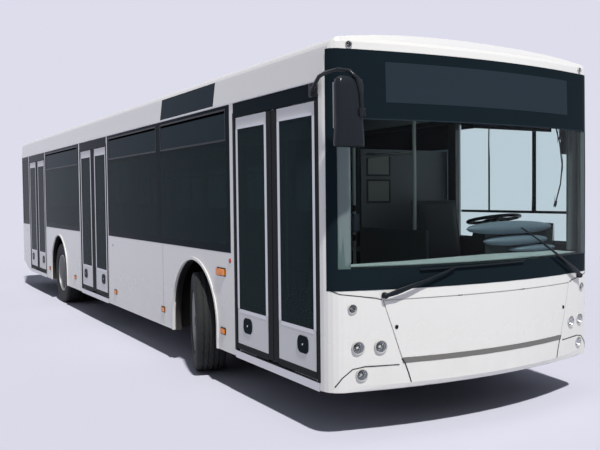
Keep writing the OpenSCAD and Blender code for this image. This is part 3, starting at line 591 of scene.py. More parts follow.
def tyre(centre, axis):
    """Radius over angle and width: the crown, minus grooves that swing with the angle, minus notches."""
    count = np.arange(STEPS_ROUND)
    angle = count * 2 * np.pi / STEPS_ROUND
    swing = SWING * (np.abs((count % 6) - 3) - 1.5) / 1.5
    across, dip = [-CROWN_HALF], [0.0]
    for g in GROOVES:
        across += [g - 0.007, g - 0.005, g + 0.005, g + 0.007]
        dip += [0.0, GROOVE_DEEP, GROOVE_DEEP, 0.0]
    across, dip = np.array(across + [CROWN_HALF]), np.array(dip + [0.0])
    w = across[None] + swing[:, None] * (np.abs(across) < 0.1)[None]
    r = TYRE_R - CROWN_DROP * (w / CROWN_HALF) ** 2 - dip[None]
    notch = (count % 5 == 0) * NOTCH_DEEP
    flank_r = SIDEWALL[None, :, 0] - notch[:, None] * SIDEWALL[None, :, 2]
    flank_w = np.broadcast_to(SIDEWALL[None, :, 1], flank_r.shape)
    r = np.concatenate([flank_r[:, ::-1], r, flank_r], 1)
    w = np.concatenate([-flank_w[:, ::-1], w, flank_w], 1)
    ring = np.cos(angle)[:, None] * np.cross(axis, UP) + np.sin(angle)[:, None] * np.array(UP)
    points = centre + ring[:, None] * r[..., None] + axis * w[..., None]
    return points.reshape(-1, 3), [grid_faces(STEPS_ROUND, r.shape[1], True, True)]


joints = {j["child"]: j for j in frame["record"]["behaviour"]["joints"]}
WHEELS = []
for body in sorted(b for b in joints if b.startswith("wheel_")):
    at, axis = np.array(joints[body]["pos_m"]), unit(joints[body]["axis"])
    WHEELS.append((body, at, axis, axis * np.sign(at[1])))
for body, at, axis, out in WHEELS:
    tyres = [tyre(at, axis)]
    if "rear" in body:
        tyres.append(tyre(at - out * TWIN_PITCH, axis))
    label = body.replace("wheel", "tyre")
    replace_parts(piece(label + "_tread", tyres, "tyre_rubber", body, sharp=30), label)

# %% Wheel nuts and hubs
NUT_CIRCLE, NUT_COUNT, VENT_CIRCLE, VENT_LIFT = 0.1675, 10, 0.222, 0.0005
NUT = [(0, 0), (0.0165, 0), (0.0165, 0.017), (0.0125, 0.023), (0.010, 0.023), (0.010, 0.034), (0, 0.034)]
HUB_CAP = [(0, 0.010), (0.040, 0.010), (0.052, 0.006), (0.058, -0.004), (0.058, -0.020), (0, -0.020)]
VENT = [(0, 0.002), (0.017, 0.002), (0.019, 0.0), (0, -0.001)]


def round_disc(profile, at, out, radius, turn, sides):
    """Copies of a turned form that look out, evenly on a circle round the point at, the first at turn."""
    forms = []
    for k in range(NUT_COUNT):
        a = math.radians(360 / NUT_COUNT * k + turn)
        foot = at + radius * (math.cos(a) * np.cross(out, UP) + math.sin(a) * np.array(UP))
        forms.append(lathe(profile, foot, out, sides))
    return forms


for body, at, _, out in WHEELS:
    disc, hub_top = (0.0755, 0.110) if "front" in body else (-0.0540, 0.030)
    piece(body + "_nuts", round_disc(NUT, at + out * disc, out, NUT_CIRCLE, 0, 6), "steel", body, sharp=25)
    piece(body + "_hub", lathe(HUB_CAP, at + out * hub_top, out, 32), body=body)
    vents = round_disc(VENT, at + out * (disc + VENT_LIFT), out, VENT_CIRCLE, 180 / NUT_COUNT, 16)
    piece(body + "_vents", vents, "frame_paint", body)

# %% [markdown]
# ## Side windows
# The panes are bonded on, so from outside they read as one dark band: a black printed border covers
# the adhesive, and a black joint fills the gap between two panes. The long panes have a narrow hopper
# that tips inwards, seen as a slim frame in their upper part.

# %% Window band
PANES_LEFT = [(-5.830, -4.480), (-4.450, -2.840), (-2.810, -1.200), (-1.170, 0.440), (0.470, 2.080),
              (2.110, 3.960), (3.990, 5.540)]
PANES_RIGHT = [(-5.830, -5.215), (-3.655, -1.300), (0.260, 2.220), (2.250, 4.060)]
# The bars of the driver's sliding window
DRIVER_BARS = [(4.050, 5.480, 1.478, 1.502), (4.452, 4.476, 1.502, 2.312), (5.035, 5.085, 1.502, 2.312),
               (4.050, 5.480, 2.312, 2.364)]
JOINT, FRIT = 0.017, 0.048
# Panes longer than this, and behind the driver's, have a hopper
HOPPER_PANE, DRIVER_PANE_X = 1.3, 4.6
HOPPER_LOW, HOPPER_TOP, HOPPER_IN, HOPPER_W = COVE_Z - 0.300, COVE_Z - 0.028, 0.055, 0.016
for (side, name), panes in zip(SIDES, (PANES_LEFT, PANES_RIGHT)):
    border, hoppers, fills = [], [], []
    for x0, x1 in panes:
        border += frame_rows(x0 - JOINT, x1 + JOINT, WAIST_Z - 0.004, COVE_Z - 0.001, FRIT + JOINT)
        if x1 - x0 > HOPPER_PANE and x1 < DRIVER_PANE_X:
            hoppers += frame_rows(x0 + HOPPER_IN, x1 - HOPPER_IN, HOPPER_LOW, HOPPER_TOP, HOPPER_W)
            inner = HOPPER_IN + HOPPER_W
            fills.append((x0 + inner, x1 - inner, HOPPER_LOW + HOPPER_W, HOPPER_TOP - HOPPER_W))
    if side > 0:
        border += DRIVER_BARS
    piece(f"window_border_{name}", wall_boxes(border, side, 0.0012, 0.0004, 0.0003), "gloss_black")
    piece(f"hopper_frames_{name}", wall_boxes(hoppers, side, 0.0045, 0.0006))
    piece(f"hopper_panes_{name}", wall_boxes(fills, side, 0.0012, 0.0004, 0.0004), "hopper_tint")

# Seal strip along the cove
for side, name in SIDES:
    strip = [(-5.86, 5.575, COVE_Z + 0.002, COVE_Z + 0.012)]
    piece(f"drip_rail_{name}", wall_boxes(strip, side, 0.006, 0.001, 0.002), "aluminium")

# %% Arch liners
LINER_R, LINER_THICK, ARCH_Z = 0.5655, 0.0035, 0.500


def arch(x, r):
    """A half circle of radius r over the wheel at x, with straight ends down to the skirt."""
    turn = np.radians(np.linspace(0, 180, 49))
    u = np.concatenate([[1.0], np.cos(turn), [-1.0]])[:, None]
    z = np.concatenate([[SKIRT_Z], ARCH_Z + r * np.sin(turn), [SKIRT_Z]])[:, None]
    return np.stack(np.broadcast_arrays(x + r * u, np.array([[1.2135, 1.268]]), z), -1)


liners = []
for body in ("wheel_front_left", "wheel_rear_left"):
    x = float(joints[body]["pos_m"][0])
    liners.append(shell(arch(x, LINER_R), arch(x, LINER_R - LINER_THICK)))
piece("arch_liners", both_sides(joined(liners)), "frame_paint")

# %% [markdown]
# ## Doors
# Each leaf is an aluminium frame round a bonded pane, with a white panel below it, a white rail above
# it and a thick rubber finger guard on its leading edge. A rounded cover on the lower panel hides the
# lock. The portal has a black header and an aluminium sill.

# %% Door leaves
DOOR_X = [SEAM_X - 0.720, -0.512, -4.434]
PORTAL_HALF, POST_GAP, MEET_GAP = 0.700, 0.040, 0.004
LEAF_LOW, LEAF_TOP = 0.396, 2.300
LEAF_OUT, LEAF_IN = 1.272, 1.236
STILE, GUARD = 0.038, 0.086
GLASS_LOW, GLASS_TOP = 0.725, 2.206
LOCK_Z, LOCK_IN, COVER_THICK, COVER_EDGE = 0.600, 0.235, 0.006, 0.002
KEYHOLE = [(0, 0.004), (0.008, 0.003), (0.009, -0.001), (0, -0.001)]
# Measured from the post: where the leaf ends, and where its guard and its inner stile start
LEAF_END = PORTAL_HALF - MEET_GAP
GUARD_AT, STILE_AT = LEAF_END - GUARD, LEAF_END - GUARD - STILE
# Rows: from the post, to, z0, z1
LEAF_FRAME = [
    (POST_GAP, POST_GAP + STILE, GLASS_LOW, GLASS_TOP),
    (STILE_AT, GUARD_AT, GLASS_LOW, GLASS_TOP),
    (POST_GAP + STILE, STILE_AT, GLASS_LOW - 0.030, GLASS_LOW),
    (POST_GAP + STILE, STILE_AT, GLASS_TOP, GLASS_TOP + 0.022),
]
LEAF_RUBBER = [
    (GUARD_AT, LEAF_END + 0.001, LEAF_LOW - 0.001, LEAF_TOP + 0.001),
    (POST_GAP - 0.012, POST_GAP + 0.004, LEAF_LOW, LEAF_TOP),
    (POST_GAP, GUARD_AT, LEAF_LOW - 0.012, LEAF_LOW + 0.042),
]
# Rows: into the cabin from the leaf, height
GRIP = [(0.0, 0.86), (0.028, 0.90), (0.028, 1.55), (0.0, 1.59)]


def leaf_boxes(post, way, rows, proud, edge):
    """Boxes round a leaf's full thickness from (from the post, to, z0, z1) rows, proud on both faces."""
    low, high = [], []
    for a, b, z0, z1 in rows:
        x0, x1 = sorted((post + way * a, post + way * b))
        low.append((x0, -LEAF_OUT - proud, z0))
        high.append((x1, -LEAF_IN + proud, z1))
    return boxes(low, high, edge)


def lock_cover(x):
    """A rounded plate on a leaf's outer face, whose outline is pulled in at both of its own faces."""
    outline = round_outline(0.160, 0.125, 0.045) + np.array([x, LOCK_Z])
    ahead = np.roll(outline, -1, 0) - np.roll(outline, 1, 0)
    outward = unit(np.stack([ahead[:, 1], -ahead[:, 0]], -1))
    rings = [(-COVER_EDGE, 0), (0, COVER_EDGE), (0, COVER_THICK - COVER_EDGE), (-COVER_EDGE, COVER_THICK)]
    sections = []
    for grow, off in rings:
        a, b = (outline + outward * grow).T
        sections.append(np.column_stack([a, np.full(len(a), -LEAF_OUT - off), b]))
    return loft(sections)


for d, middle in enumerate(DOOR_X, 1):
    for end, way in (("front", -1), ("rear", 1)):
        post = middle - way * PORTAL_HALF
        tag = f"{d}_{end}"
        leaf = "leaf_" + tag
        piece("leaf_frame_" + tag, leaf_boxes(post, way, LEAF_FRAME, 0.0015, 0.001), "aluminium", leaf)
        piece("leaf_rubber_" + tag, leaf_boxes(post, way, LEAF_RUBBER, 0.003, 0.004), "rubber", leaf)
        lock_x = post + way * LOCK_IN
        piece("leaf_lock_" + tag, lock_cover(lock_x), "gloss_black", leaf)
        keyhole = lathe(KEYHOLE, (lock_x, -LEAF_OUT - COVER_THICK, LOCK_Z), OUT_RIGHT, 16)
        piece("leaf_keyhole_" + tag, keyhole, "steel", leaf)
        grip_x = post + way * (GUARD_AT - STILE / 2)
        path = [(grip_x, -LEAF_IN + inward, z) for inward, z in GRIP]
        piece("leaf_grip_" + tag, tube(path, 0.011, 10, AHEAD), "rail_coat", leaf)

# %% Door portals
headers, sills, posts = [], [], []
for middle in DOOR_X:
    x0, x1 = middle - PORTAL_HALF, middle + PORTAL_HALF
    headers.append((x0, x1, LEAF_TOP + 0.006, COVE_Z - 0.002))
    sills.append((x0, x1, 0.310, FLOOR_Z - 0.001))
    posts += [(x0 - 0.018, x0 + 0.026, FLOOR_Z, 2.345), (x1 - 0.026, x1 + 0.018, FLOOR_Z, 2.345)]
piece("door_headers", wall_boxes(headers, -1, 0.003, 0.0005), "gloss_black")
piece("door_sill_edges", wall_boxes(sills, -1, 0.004, 0.0005), "aluminium")
piece("post_rubbers", wall_boxes(posts, -1, 0.002, 0.040, 0.004), "rubber")

# %% [markdown]
# ## Small things on the sides
# Door button, service locks, side indicator with two lenses, marker lamps in black sockets, and the
# joints between the skirt panels.

# %% Side details
# Rows: x, height, radius, finish
BUTTONS = [(4.055, 1.109, 0.021, "red_lens"), (0.433, 1.066, 0.014, "steel"), (-5.405, 1.061, 0.014, "steel")]
for k, (x, z, r, material) in enumerate(BUTTONS):
    profile = [(0, 0.007), (r * 0.7, 0.007), (r * 0.8, 0.005), (r, 0.004), (r, -0.001), (0, -0.001)]
    piece(f"button_{k}", lathe(profile, (x, -HALF_W, z), OUT_RIGHT, 20), material)
MARKER_X = (-3.430, -1.630, 0.525, 2.310, 3.890)
# By side: where the skirt panels meet, and the flaps in them as (x0, x1, z0, z1) rows
PANELS = {
    1: [(-3.3, -1.6, 0.45, 2.32, 3.95),
        ((4.60, 5.20, 0.45, 1.02), (-5.55, -4.30, 0.55, 1.12), (0.62, 1.10, 0.55, 1.05))],
    -1: [(-3.66, -1.30, 0.24, 2.32), ()],
}
for side, name in SIDES:
    sockets = [(x - 0.052, x + 0.052, 0.458, 0.522) for x in MARKER_X] + [(3.770, 3.956, 0.965, 1.040)]
    piece(f"marker_sockets_{name}", wall_boxes(sockets, side, 0.005, 0.0005, 0.002))
    lens_row = [(3.884, 3.946, 0.976, 1.029)]
    piece(f"front_indicator_{name}", wall_boxes(lens_row, side, 0.020, 0.0005, 0.004), "amber_lens")
    meets, flaps = PANELS[side]
    lines = [(x - 0.0015, x + 0.0015, 0.335, 1.170) for x in meets]
    for flap in flaps:
        lines += frame_rows(*flap, 0.003)
    piece(f"panel_joints_{name}", wall_boxes(lines, side, 0.0004, 0.0004, 0.0001), "rubber")

# %% [markdown]
# ## Front
# The windscreen's edge is printed black: wide at its foot and head, slim at its sides. The slate field
# in the head is the destination display. The mask's joints are thin dark strips on the skin.

# %% Windscreen print and display
HEAD_Z, FOOT_Z, SIDE_Y = 2.165, 1.158, 1.208
GLASS_EDGE_DEPTH = 0.064


def glass_edge_y(z):
    """How far from the middle the windscreen's side edge lies at each height."""
    y = np.linspace(1.0, HALF_W, 400)
    return np.array([y[np.argmax(on_front(y, h)[:, 0] < SEAM_X + GLASS_EDGE_DEPTH)] for h in z])


def print_sheet(inner, z0, z1, columns, rows=8):
    """Print from inner to the glass's edge, or from edge to edge without inner; points crowd at the edge."""
    z = np.linspace(z0, z1, rows)
    edge = glass_edge_y(z)[:, None]
    t = np.linspace(0, 1, columns)[None]
    y = -edge * np.cos(np.pi * t) if inner is None else inner + (edge - inner) * np.sin(np.pi / 2 * t)
    z = np.broadcast_to(z[:, None], y.shape)
    return shell(on_front(y, z, 0.0018), on_front(y, z, 0.0006))


head_print = print_sheet(None, HEAD_Z, SCREEN_TOP - 0.002, 60)
foot_print = print_sheet(None, SCREEN_LOW + 0.002, FOOT_Z, 60, 4)
side_print = both_sides(print_sheet(SIDE_Y, FOOT_Z - 0.002, HEAD_Z + 0.002, 10, 14))
piece("screen_print", [head_print, foot_print, side_print], "gloss_black")
piece("display_window", front_sheet(-0.860, 0.920, 2.285, 2.560, 0.0020, 0.0010, 40), "display_face")
edge_line = front_line([(-1.165, HEAD_Z + 0.004), (1.165, HEAD_Z + 0.004)], 0.007, 0.0020, 0.001, 40)
piece("print_edge", edge_line, "display_face")

# %% Mask joints
# Painted shade: a grey sheet fills the slot under the front flap and stands in for the shaded top edge of the
# white bumper
piece("slot_liner", front_sheet(-0.773, 0.773, 0.4985, 0.5325, 0.0004, 0.0010, 40), "liner_grey")
# For the left side: width of the joint and its corners (y, z)
SEAMS = [
    (0.005, [(1.262, 1.020), (1.200, 0.990), (0.955, 0.955), (0.919, 0.943)]),
    (0.007, [(0.781, 0.529), (0.760, 0.500), (0.735, 0.430), (0.715, 0.362)]),
    (0.006, [(1.230, 0.360), (1.190, 0.420), (1.120, 0.478), (1.040, 0.492), (0.800, 0.490)]),
]
seams = [front_line(np.array(corners) * [s, 1], width) for s in (-1, 1) for width, corners in SEAMS]
piece("mask_joints", seams, "rubber")
FLAP_LOCK = [(0, 0.003), (0.012, 0.003), (0.014, 0.001), (0.014, -0.004), (0, -0.004)]
locks = [lathe(FLAP_LOCK, on_front(s * 0.815, 0.750), AHEAD, 18) for s in (-1, 1)]
piece("flap_locks", locks, "rubber", "front_flap")

# %% [markdown]
# ## Lamps
# Each lamp is a bowl under a domed lens, held by a bezel. The bowls are turned from a parabola, and so
# are the lenses, which are flatter and bulge the other way.

# %% Front lamps
# Rows: distance from the middle, height, radius
LAMPS = [(1.118, 0.890, 0.030), (1.083, 0.622, 0.043), (0.930, 0.622, 0.043), (1.060, 0.436, 0.040),
         (1.118, 2.664, 0.022)]
# Turned outlines as shares of the lamp's radius, and heights
BEZEL = [(0.90, 0.002), (0.96, 0.010), (1.06, 0.010), (1.12, 0.002), (1.12, -0.016), (0.90, -0.016)]
BULB = [(0, -0.012), (0.22, -0.014), (0.26, -0.022), (0.2, -0.032), (0, -0.032)]
LAMP_TURN = 0.18


def dome(r, foot, rise, thick, centre, axis):
    """A bowl or a lens: height = foot + rise * (1 - share of the radius squared), thick deep."""
    a = np.linspace(0, 1, 8)
    top = np.column_stack([r * a, foot + rise * (1 - a**2)])
    return lathe(np.concatenate([top, top[::-1] - [0.0, thick]]), centre, axis, 40)


bezels, bowls, lenses, bulbs = [], [], [], []
for y0, z, r in LAMPS:
    for s in (-1, 1):
        centre, axis = on_front(s * y0, z), (1.0, LAMP_TURN * s, 0.0)
        bezels.append(lathe(np.array(BEZEL) * [r, 1], centre, axis, 40))
        bowls.append(dome(r * 0.9, 0.0, -0.034, 0.002, centre, axis))
        lenses.append(dome(r * 0.93, 0.003, 0.010, 0.003, centre, axis))
        bulbs.append(lathe(np.array(BULB) * [r, 1], centre, axis, 20))
piece("lamp_bezels", bezels, "bezel_grey")
bowl_piece = piece("lamp_bowls", bowls, "lamp_bowl")
piece("lamp_bulbs", bulbs, "lamp_core")
piece("lamp_lenses", lenses, "lamp_lens")
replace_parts(bowl_piece, "front_lamps")

# %% [markdown]
# ## Mirrors
# The right mirror hangs ahead of the mask: a bent tube carries a tall case that narrows to a skirt at
# its foot. The case is lofted through rounded rectangles. The left mirror has the same case on a short arm.

# %% Mirrors
# Rows from the skirt up: share of the height, width factor, depth factor
CASE_ROWS = [(0.0, 0.86, 0.50), (0.012, 0.97, 0.80), (0.05, 1.0, 0.95), (0.34, 0.90, 1.0), (0.46, 0.93, 1.0),
             (0.88, 0.97, 1.0), (0.96, 0.88, 0.85), (1.0, 0.66, 0.5)]


def mirror_case(x, y, top, tall, wide, deep):
    """Loft of rounded rectangles, one for each row of the case."""
    sections = []
    for f, w, d in CASE_ROWS:
        o = round_outline(deep * d, wide * w, min(deep * d, wide * w) * 0.40)
        sections.append(np.column_stack([x + o[:, 0], y + o[:, 1], np.full(len(o), top - tall * (1 - f))]))
    return loft(sections)


CASE_X, CASE_Y, ARM_Y = SEAM_X + 0.380, -1.272, -1.325
# Rows: ahead of the seam, inward from the arm's plane, height
ARM = np.array([
    (-0.022, 0.03, 2.340), (0.01, 0, 2.372), (0.10, 0, 2.440), (0.17, 0, 2.452), (0.33, 0, 2.452),
    (0.392, 0.05, 2.440), (0.422, 0.09, 2.395), (0.424, 0.115, 2.300), (0.424, 0.125, 2.190),
])
seam = np.array([SEAM_X, 0, 0])
case = mirror_case(CASE_X, CASE_Y, 2.405, 0.445, 0.215, 0.085)
arm = tube(ARM + [SEAM_X, ARM_Y, 0], 0.0135, 12, ALONG_Y)
bracket = boxes(seam + [(-0.045, -1.330, 2.318), (0.410, -1.225, 2.155)],
                seam + [(-0.002, -1.2753, 2.412), (0.4395, -1.175, 2.205)], 0.006)
left_case = mirror_case(SEAM_X - 0.225, 1.385, 2.440, 0.440, 0.148, 0.078)
left_arm = boxes(seam + [(-0.260, 1.2753, 2.430), (-0.245, 1.286, 2.440)],
                 seam + [(-0.190, 1.291, 2.490), (-0.205, 1.420, 2.468)], 0.004)
mirror_piece = piece("mirror_cases", [case, arm, bracket, left_case, left_arm], "mirror_shell")
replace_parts(mirror_piece, "mirrors")
faces_of_glass = boxes([(CASE_X - 0.0445, CASE_Y - 0.090, 2.080), (SEAM_X - 0.2665, 1.322, 2.130)],
                       [(CASE_X - 0.0415, CASE_Y + 0.090, 2.370), (SEAM_X - 0.2635, 1.448, 2.395)], 0.001)
piece("mirror_glass", faces_of_glass, "chrome")

# %% [markdown]
# ## Wipers
# An arm runs from a spindle cap to the middle of its blade. The blade is a slim rail with a rubber lip
# that rests on the glass.

# %% Wipers
# Rows: spindle y and z, arm's end y and z, blade's ends y, z, y, z
WIPERS = [(-0.905, 0.972, -0.370, 1.142, -0.640, 1.138, 0.300, 1.150),
          (1.060, 0.985, 0.540, 1.262, 0.860, 1.110, 0.290, 1.400)]
SPINDLE_CAP = [(0, 0.046), (0.012, 0.044), (0.020, 0.036), (0.022, 0.004), (0, 0.004)]
ARM_DEEP = 0.012
arms, blades, lips = [], [], []
for sy, sz, ey, ez, ay, az, by, bz in WIPERS:
    t = np.linspace(0, 1, 9)
    lift = np.interp(t, [0, 0.15, 0.9, 1], [0.034, 0.040, 0.030, 0.024])
    path = on_front(sy + (ey - sy) * t, sz + (ez - sz) * t) + np.array(AHEAD) * lift[:, None]
    slope = math.atan2(ez - sz, ey - sy)
    width = np.interp(t, [0, 0.08, 0.45, 0.5, 1], [0.026, 0.040, 0.026, 0.017, 0.012])
    outline = round_outline(1.0, 1.0, 0.3, 3)
    across = np.array([0.0, -math.sin(slope), math.cos(slope)]) * outline[:, :1]
    deep = np.array([ARM_DEEP, 0, 0]) * outline[:, 1:]
    arms.append(loft([p + across * w + deep for p, w in zip(path, width)]))
    arms.append(lathe(SPINDLE_CAP, on_front(sy, sz), AHEAD, 24))
    t = np.linspace(0, 1, 25)
    y, z = ay + (by - ay) * t, az + (bz - az) * t
    blades.append(sweep(on_front(y, z, 0.014), round_outline(0.010, 0.010, 0.002, 1), AHEAD))
    lips.append(sweep(on_front(y, z, 0.005), round_outline(0.004, 0.010, 0.001, 1), AHEAD))
wiper_piece = piece("wiper_arms", arms + blades)
piece("wiper_lips", lips, "rubber")
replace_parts(wiper_piece, "wipers")

# %% [markdown]
# ## Rear
# Round lamps in bezels, louvres on the engine hatch and a blank plate panel.

# %% Rear details
REAR_X = float(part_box("rear_wall")[0][0])
REAR_LAMP_X, REAR_LAMP_Y, REAR_LAMP_Z = REAR_X + 0.063, 1.030, (0.620, 0.760, 0.900)
BACK = (-1, 0, 0)
REAR_BEZEL = [(0.050, 0.004), (0.056, 0.012), (0.064, 0.010), (0.067, 0.0), (0.067, -0.020), (0.050, -0.020)]
centres = [(REAR_LAMP_X, s * REAR_LAMP_Y, z) for s in (-1, 1) for z in REAR_LAMP_Z]
piece("rear_bezels", [lathe(REAR_BEZEL, centre, BACK, 40) for centre in centres])
rear_lenses = [dome(0.052, 0.004, 0.012, 0.008, centre, BACK) for centre in centres]
piece("rear_lenses", rear_lenses, "red_lens")
LOUVRE_Z = [0.820 + 0.045 * k for k in range(9)]
louvres = boxes([(REAR_X - 0.0018, -0.560, z) for z in LOUVRE_Z],
                [(REAR_X + 0.012, 0.560, z + 0.025) for z in LOUVRE_Z], 0.005)
piece("engine_louvres", louvres, body="engine_hatch")
plate = boxes((REAR_X - 0.0018, -0.270, 0.600), (REAR_X + 0.010, 0.270, 0.720), 0.003)
piece("blank_plate", plate, "body_paint", "engine_hatch")

# %% [markdown]
# ## Driver's place
# Behind the screen lie a pale ledge, the covers of the corner pillars and a hood of stacked, lens-shaped
# shelves round the instruments. The wheel is a padded ring on spokes.

# %% Ledge, pillar covers and hood
LEDGE_Z, LEDGE_STEPS = 1.165, 41
reach = on_front(np.linspace(-1, 1, LEDGE_STEPS) * 1.150, LEDGE_Z, -0.075)
# The open front door leaf stands behind the right end
back_edge = np.interp(reach[:, 1], [-0.56, 0.35], [SEAM_X - 0.035, SEAM_X - 0.150])
back_edge = np.column_stack([back_edge, reach[:, 1], np.full(LEDGE_STEPS, LEDGE_Z)])
rows = np.stack([back_edge, reach], 1)
piece("ledge_cover", shell(rows + [0, 0, 0.006], rows + [0, 0, 0.001]), "ledge_grey")
# Painted light and shade: the same covers and bands get a lit tone on the right and a shaded tone on the left
for side, name, y0, y1, cover, band in ((-1, "right", -1.245, -1.045, "lining", "pillar_band_lit"),
                                        (1, "left", 1.100, 1.245, "inner_panel", "pillar_band_shaded")):
    pillar = boxes((SEAM_X + 0.006, y0, LEDGE_Z + 0.008), (SEAM_X + 0.050, y1, 2.290), 0.016)
    piece(f"pillar_cover_{name}", pillar, cover)
    # A band laminated in the glass hides the mask's corner post
    sheet = front_sheet(side * 1.125, side * (SIDE_Y + 0.004), FOOT_Z, HEAD_Z, -0.0045, 0.001, 8, 14)
    piece(f"pillar_band_{name}", sheet, band)


SHELF_X, SHELF_HALF = 5.420, 0.075
# Rows: middle y and z, half the width, half the height
SHELVES = [(0.636, 1.378, 0.477, 0.056), (0.701, 1.272, 0.364, 0.044), (0.880, 1.199, 0.270, 0.032)]


def lens_shelf(y, z, half_y, half_z):
    """A flat body whose outline from the front is a lens: ellipses that shrink to points at both ends."""
    t = np.linspace(-1, 1, 24)
    size = np.sqrt(np.maximum(1 - t**2, 0.0004))
    ring = np.insert(circle(1.0, 20), 1, 0.0, axis=1)
    sections = np.array([SHELF_X, y, z]) + ring[None] * (size[:, None] * [SHELF_HALF, 0, half_z])[:, None]
    sections[:, :, 1] += (half_y * t)[:, None]
    return loft(sections)


piece("hood_shelves", [lens_shelf(*row) for row in SHELVES], "hood_skin")


def at_dials(profile):
    """A turned form at the place of each of the two dials, facing the driver."""
    return [lathe(profile, (5.186, y, 1.204), (-0.7, 0, 0.71), 32) for y in (0.770, 0.910)]


dial_ring = [(0, 0.004), (0.048, 0.004), (0.052, 0.007), (0.056, 0.0), (0, 0.0)]
piece("instrument_rings", at_dials(dial_ring), "aluminium")
dial_face = [(0, 0.006), (0.046, 0.005), (0.046, 0.001), (0, 0.001)]
piece("instrument_faces", at_dials(dial_face), "display_face")

# %% Steering wheel
turn = joints["steering_wheel"]
WHEEL_AT, WHEEL_AXIS = np.array(turn["pos_m"]), np.array(turn["axis"])
u = unit(np.cross(WHEEL_AXIS, ALONG_Y))
v = np.cross(WHEEL_AXIS, u)


def around(r, degrees, lift=0.0):
    """Point of the steering wheel at a radius and an angle, lift along its axis."""
    a = math.radians(degrees)
    return WHEEL_AT + r * (math.cos(a) * u + math.sin(a) * v) + lift * WHEEL_AXIS


parts = [sweep([around(0.228, a) for a in np.arange(64) * 360 / 64], circle(0.0148, 14), WHEEL_AXIS, True)]
for degrees in (10, 130, 250):
    spoke = [around(0.045, degrees, 0.006), around(0.120, degrees, -0.004), around(0.222, degrees)]
    parts.append(sweep(spoke, round_outline(0.034, 0.014, 0.005, 2), WHEEL_AXIS))
HORN = [(0, 0.020), (0.040, 0.018), (0.058, 0.008), (0.060, -0.010), (0.050, -0.016), (0, -0.016)]
COLUMN = [(0, -0.012), (0.024, -0.012), (0.025, -0.168), (0, -0.168)]
parts += [lathe(HORN, WHEEL_AT, WHEEL_AXIS, 32), lathe(COLUMN, WHEEL_AT, WHEEL_AXIS, 24)]
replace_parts(piece("steering_ring", parts, body="steering_wheel"), "steering_wheel")

# %% Cab fittings
POST_Y = 0.175
partition = [tube([(4.720, POST_Y, 1.352), (4.720, POST_Y, 2.640)], 0.017, 12, ALONG_Y),
             tube([(3.905, POST_Y, 2.020), (4.720, POST_Y, 2.020)], 0.012, 10, ALONG_Y)]
piece("cab_posts", partition, "rail_coat")
# Pale panels on the cab's back wall and the dark frames round them
BACK_WALL_X, PANEL_FRAME = 3.899, 0.018
bars, fills = [], []
for z0, z1 in ((1.84, 2.06), (1.58, 1.81)):
    bars += frame_rows(0.22, 0.50, z0, z1, PANEL_FRAME)
    fills.append((0.238, 0.482, z0 + PANEL_FRAME, z1 - PANEL_FRAME))
for name, rows, thick, edge, material in (("frames", bars, 0.007, 0.002, "black_plastic"),
                                          ("panels", fills, 0.004, 0.001, "panel_beige")):
    flat = boxes([(BACK_WALL_X, y0, z0) for y0, y1, z0, z1 in rows],
                 [(BACK_WALL_X + thick, y1, z1) for y0, y1, z0, z1 in rows], edge)
    piece("cab_window_" + name, flat, material)
STALK = np.array([
    (5.5, 1.030, 2.330), (5.5, 1.074, 2.235), (5.5, 1.130, 2.080), (5.5, 1.159, 1.899), (5.5, 1.140, 1.740),
    (5.5, 1.088, 1.596),
])
s = np.linspace(0, 5, 26)
stalk = np.stack([np.interp(s, range(6), STALK[:, k]) for k in range(3)], -1)
MIC = [(0, 0), (0.011, 0.004), (0.013, 0.040), (0.009, 0.058), (0, 0.060)]
mic = [tube(stalk, 0.0055, 8, AHEAD), lathe(MIC, stalk[-1], (0, -0.35, -0.94), 16)]
piece("microphone_stalk", mic)
piece("sun_visor", boxes((5.520, 0.150, 2.170), (5.532, 1.000, 2.305), 0.004))

# %% [markdown]
# ## Seats and rails
# Passenger seats carry two cushions and two back pads a pair. Bands round the ceiling rail hold straps,
# and the poles by the doors have a ticket reader between two collars.

# %% Seat pads
# Rows: where a pair stands along the bus, and the y of its right edge
SEATS = [(x, 0.300) for x in (2.080, 1.320, 0.560, -0.200, -0.960, -3.900)]
SEATS += [(x, -1.180) for x in (1.900, 1.140, -1.420, -5.280)]
SEAT_W, SEAT_Z, PAD_THICK, GRIP_INSET = 0.880, FLOOR_Z + 0.400, 0.040, 0.06


def pad(centre, ahead, across, half_a, half_b, count=13):
    """A crowned pad: height falls with the sixth power of both ways, sides pull in, a channel runs across."""
    u, v = np.meshgrid(np.linspace(-1, 1, count), np.linspace(-1, 1, count), indexing="ij")
    a = u * half_a * (1 - 0.035 * (1 - v**2))
    b = v * half_b * (1 - 0.035 * (1 - u**2))
    crown = np.sqrt((1 - u**6) * (1 - v**6))
    channel = 0.22 * np.exp(-(((u - 0.30) / 0.09) ** 2)) * crown
    flat = np.array(centre) + a[..., None] * np.array(ahead) + b[..., None] * np.array(across)
    height = PAD_THICK * (0.30 + 0.70 * crown - channel)
    return shell(flat + height[..., None] * np.cross(ahead, across), flat)


def pads(x, y, z, w, count):
    """Cushions and back pads side by side; x, y, z is the seat's rear right lower corner and w its width."""
    each = w / count
    lean = unit([-0.120, 0.0, 0.625])
    shapes = []
    for k in range(count):
        middle = y + each * (k + 0.5)
        shapes.append(pad((x + 0.240, middle, z + 0.074), AHEAD, ALONG_Y, 0.170, each / 2 - 0.025))
        shapes.append(pad((x - 0.001, middle, z + 0.403), lean, OUT_RIGHT, 0.268, each / 2 - 0.025))
    return joined(shapes)


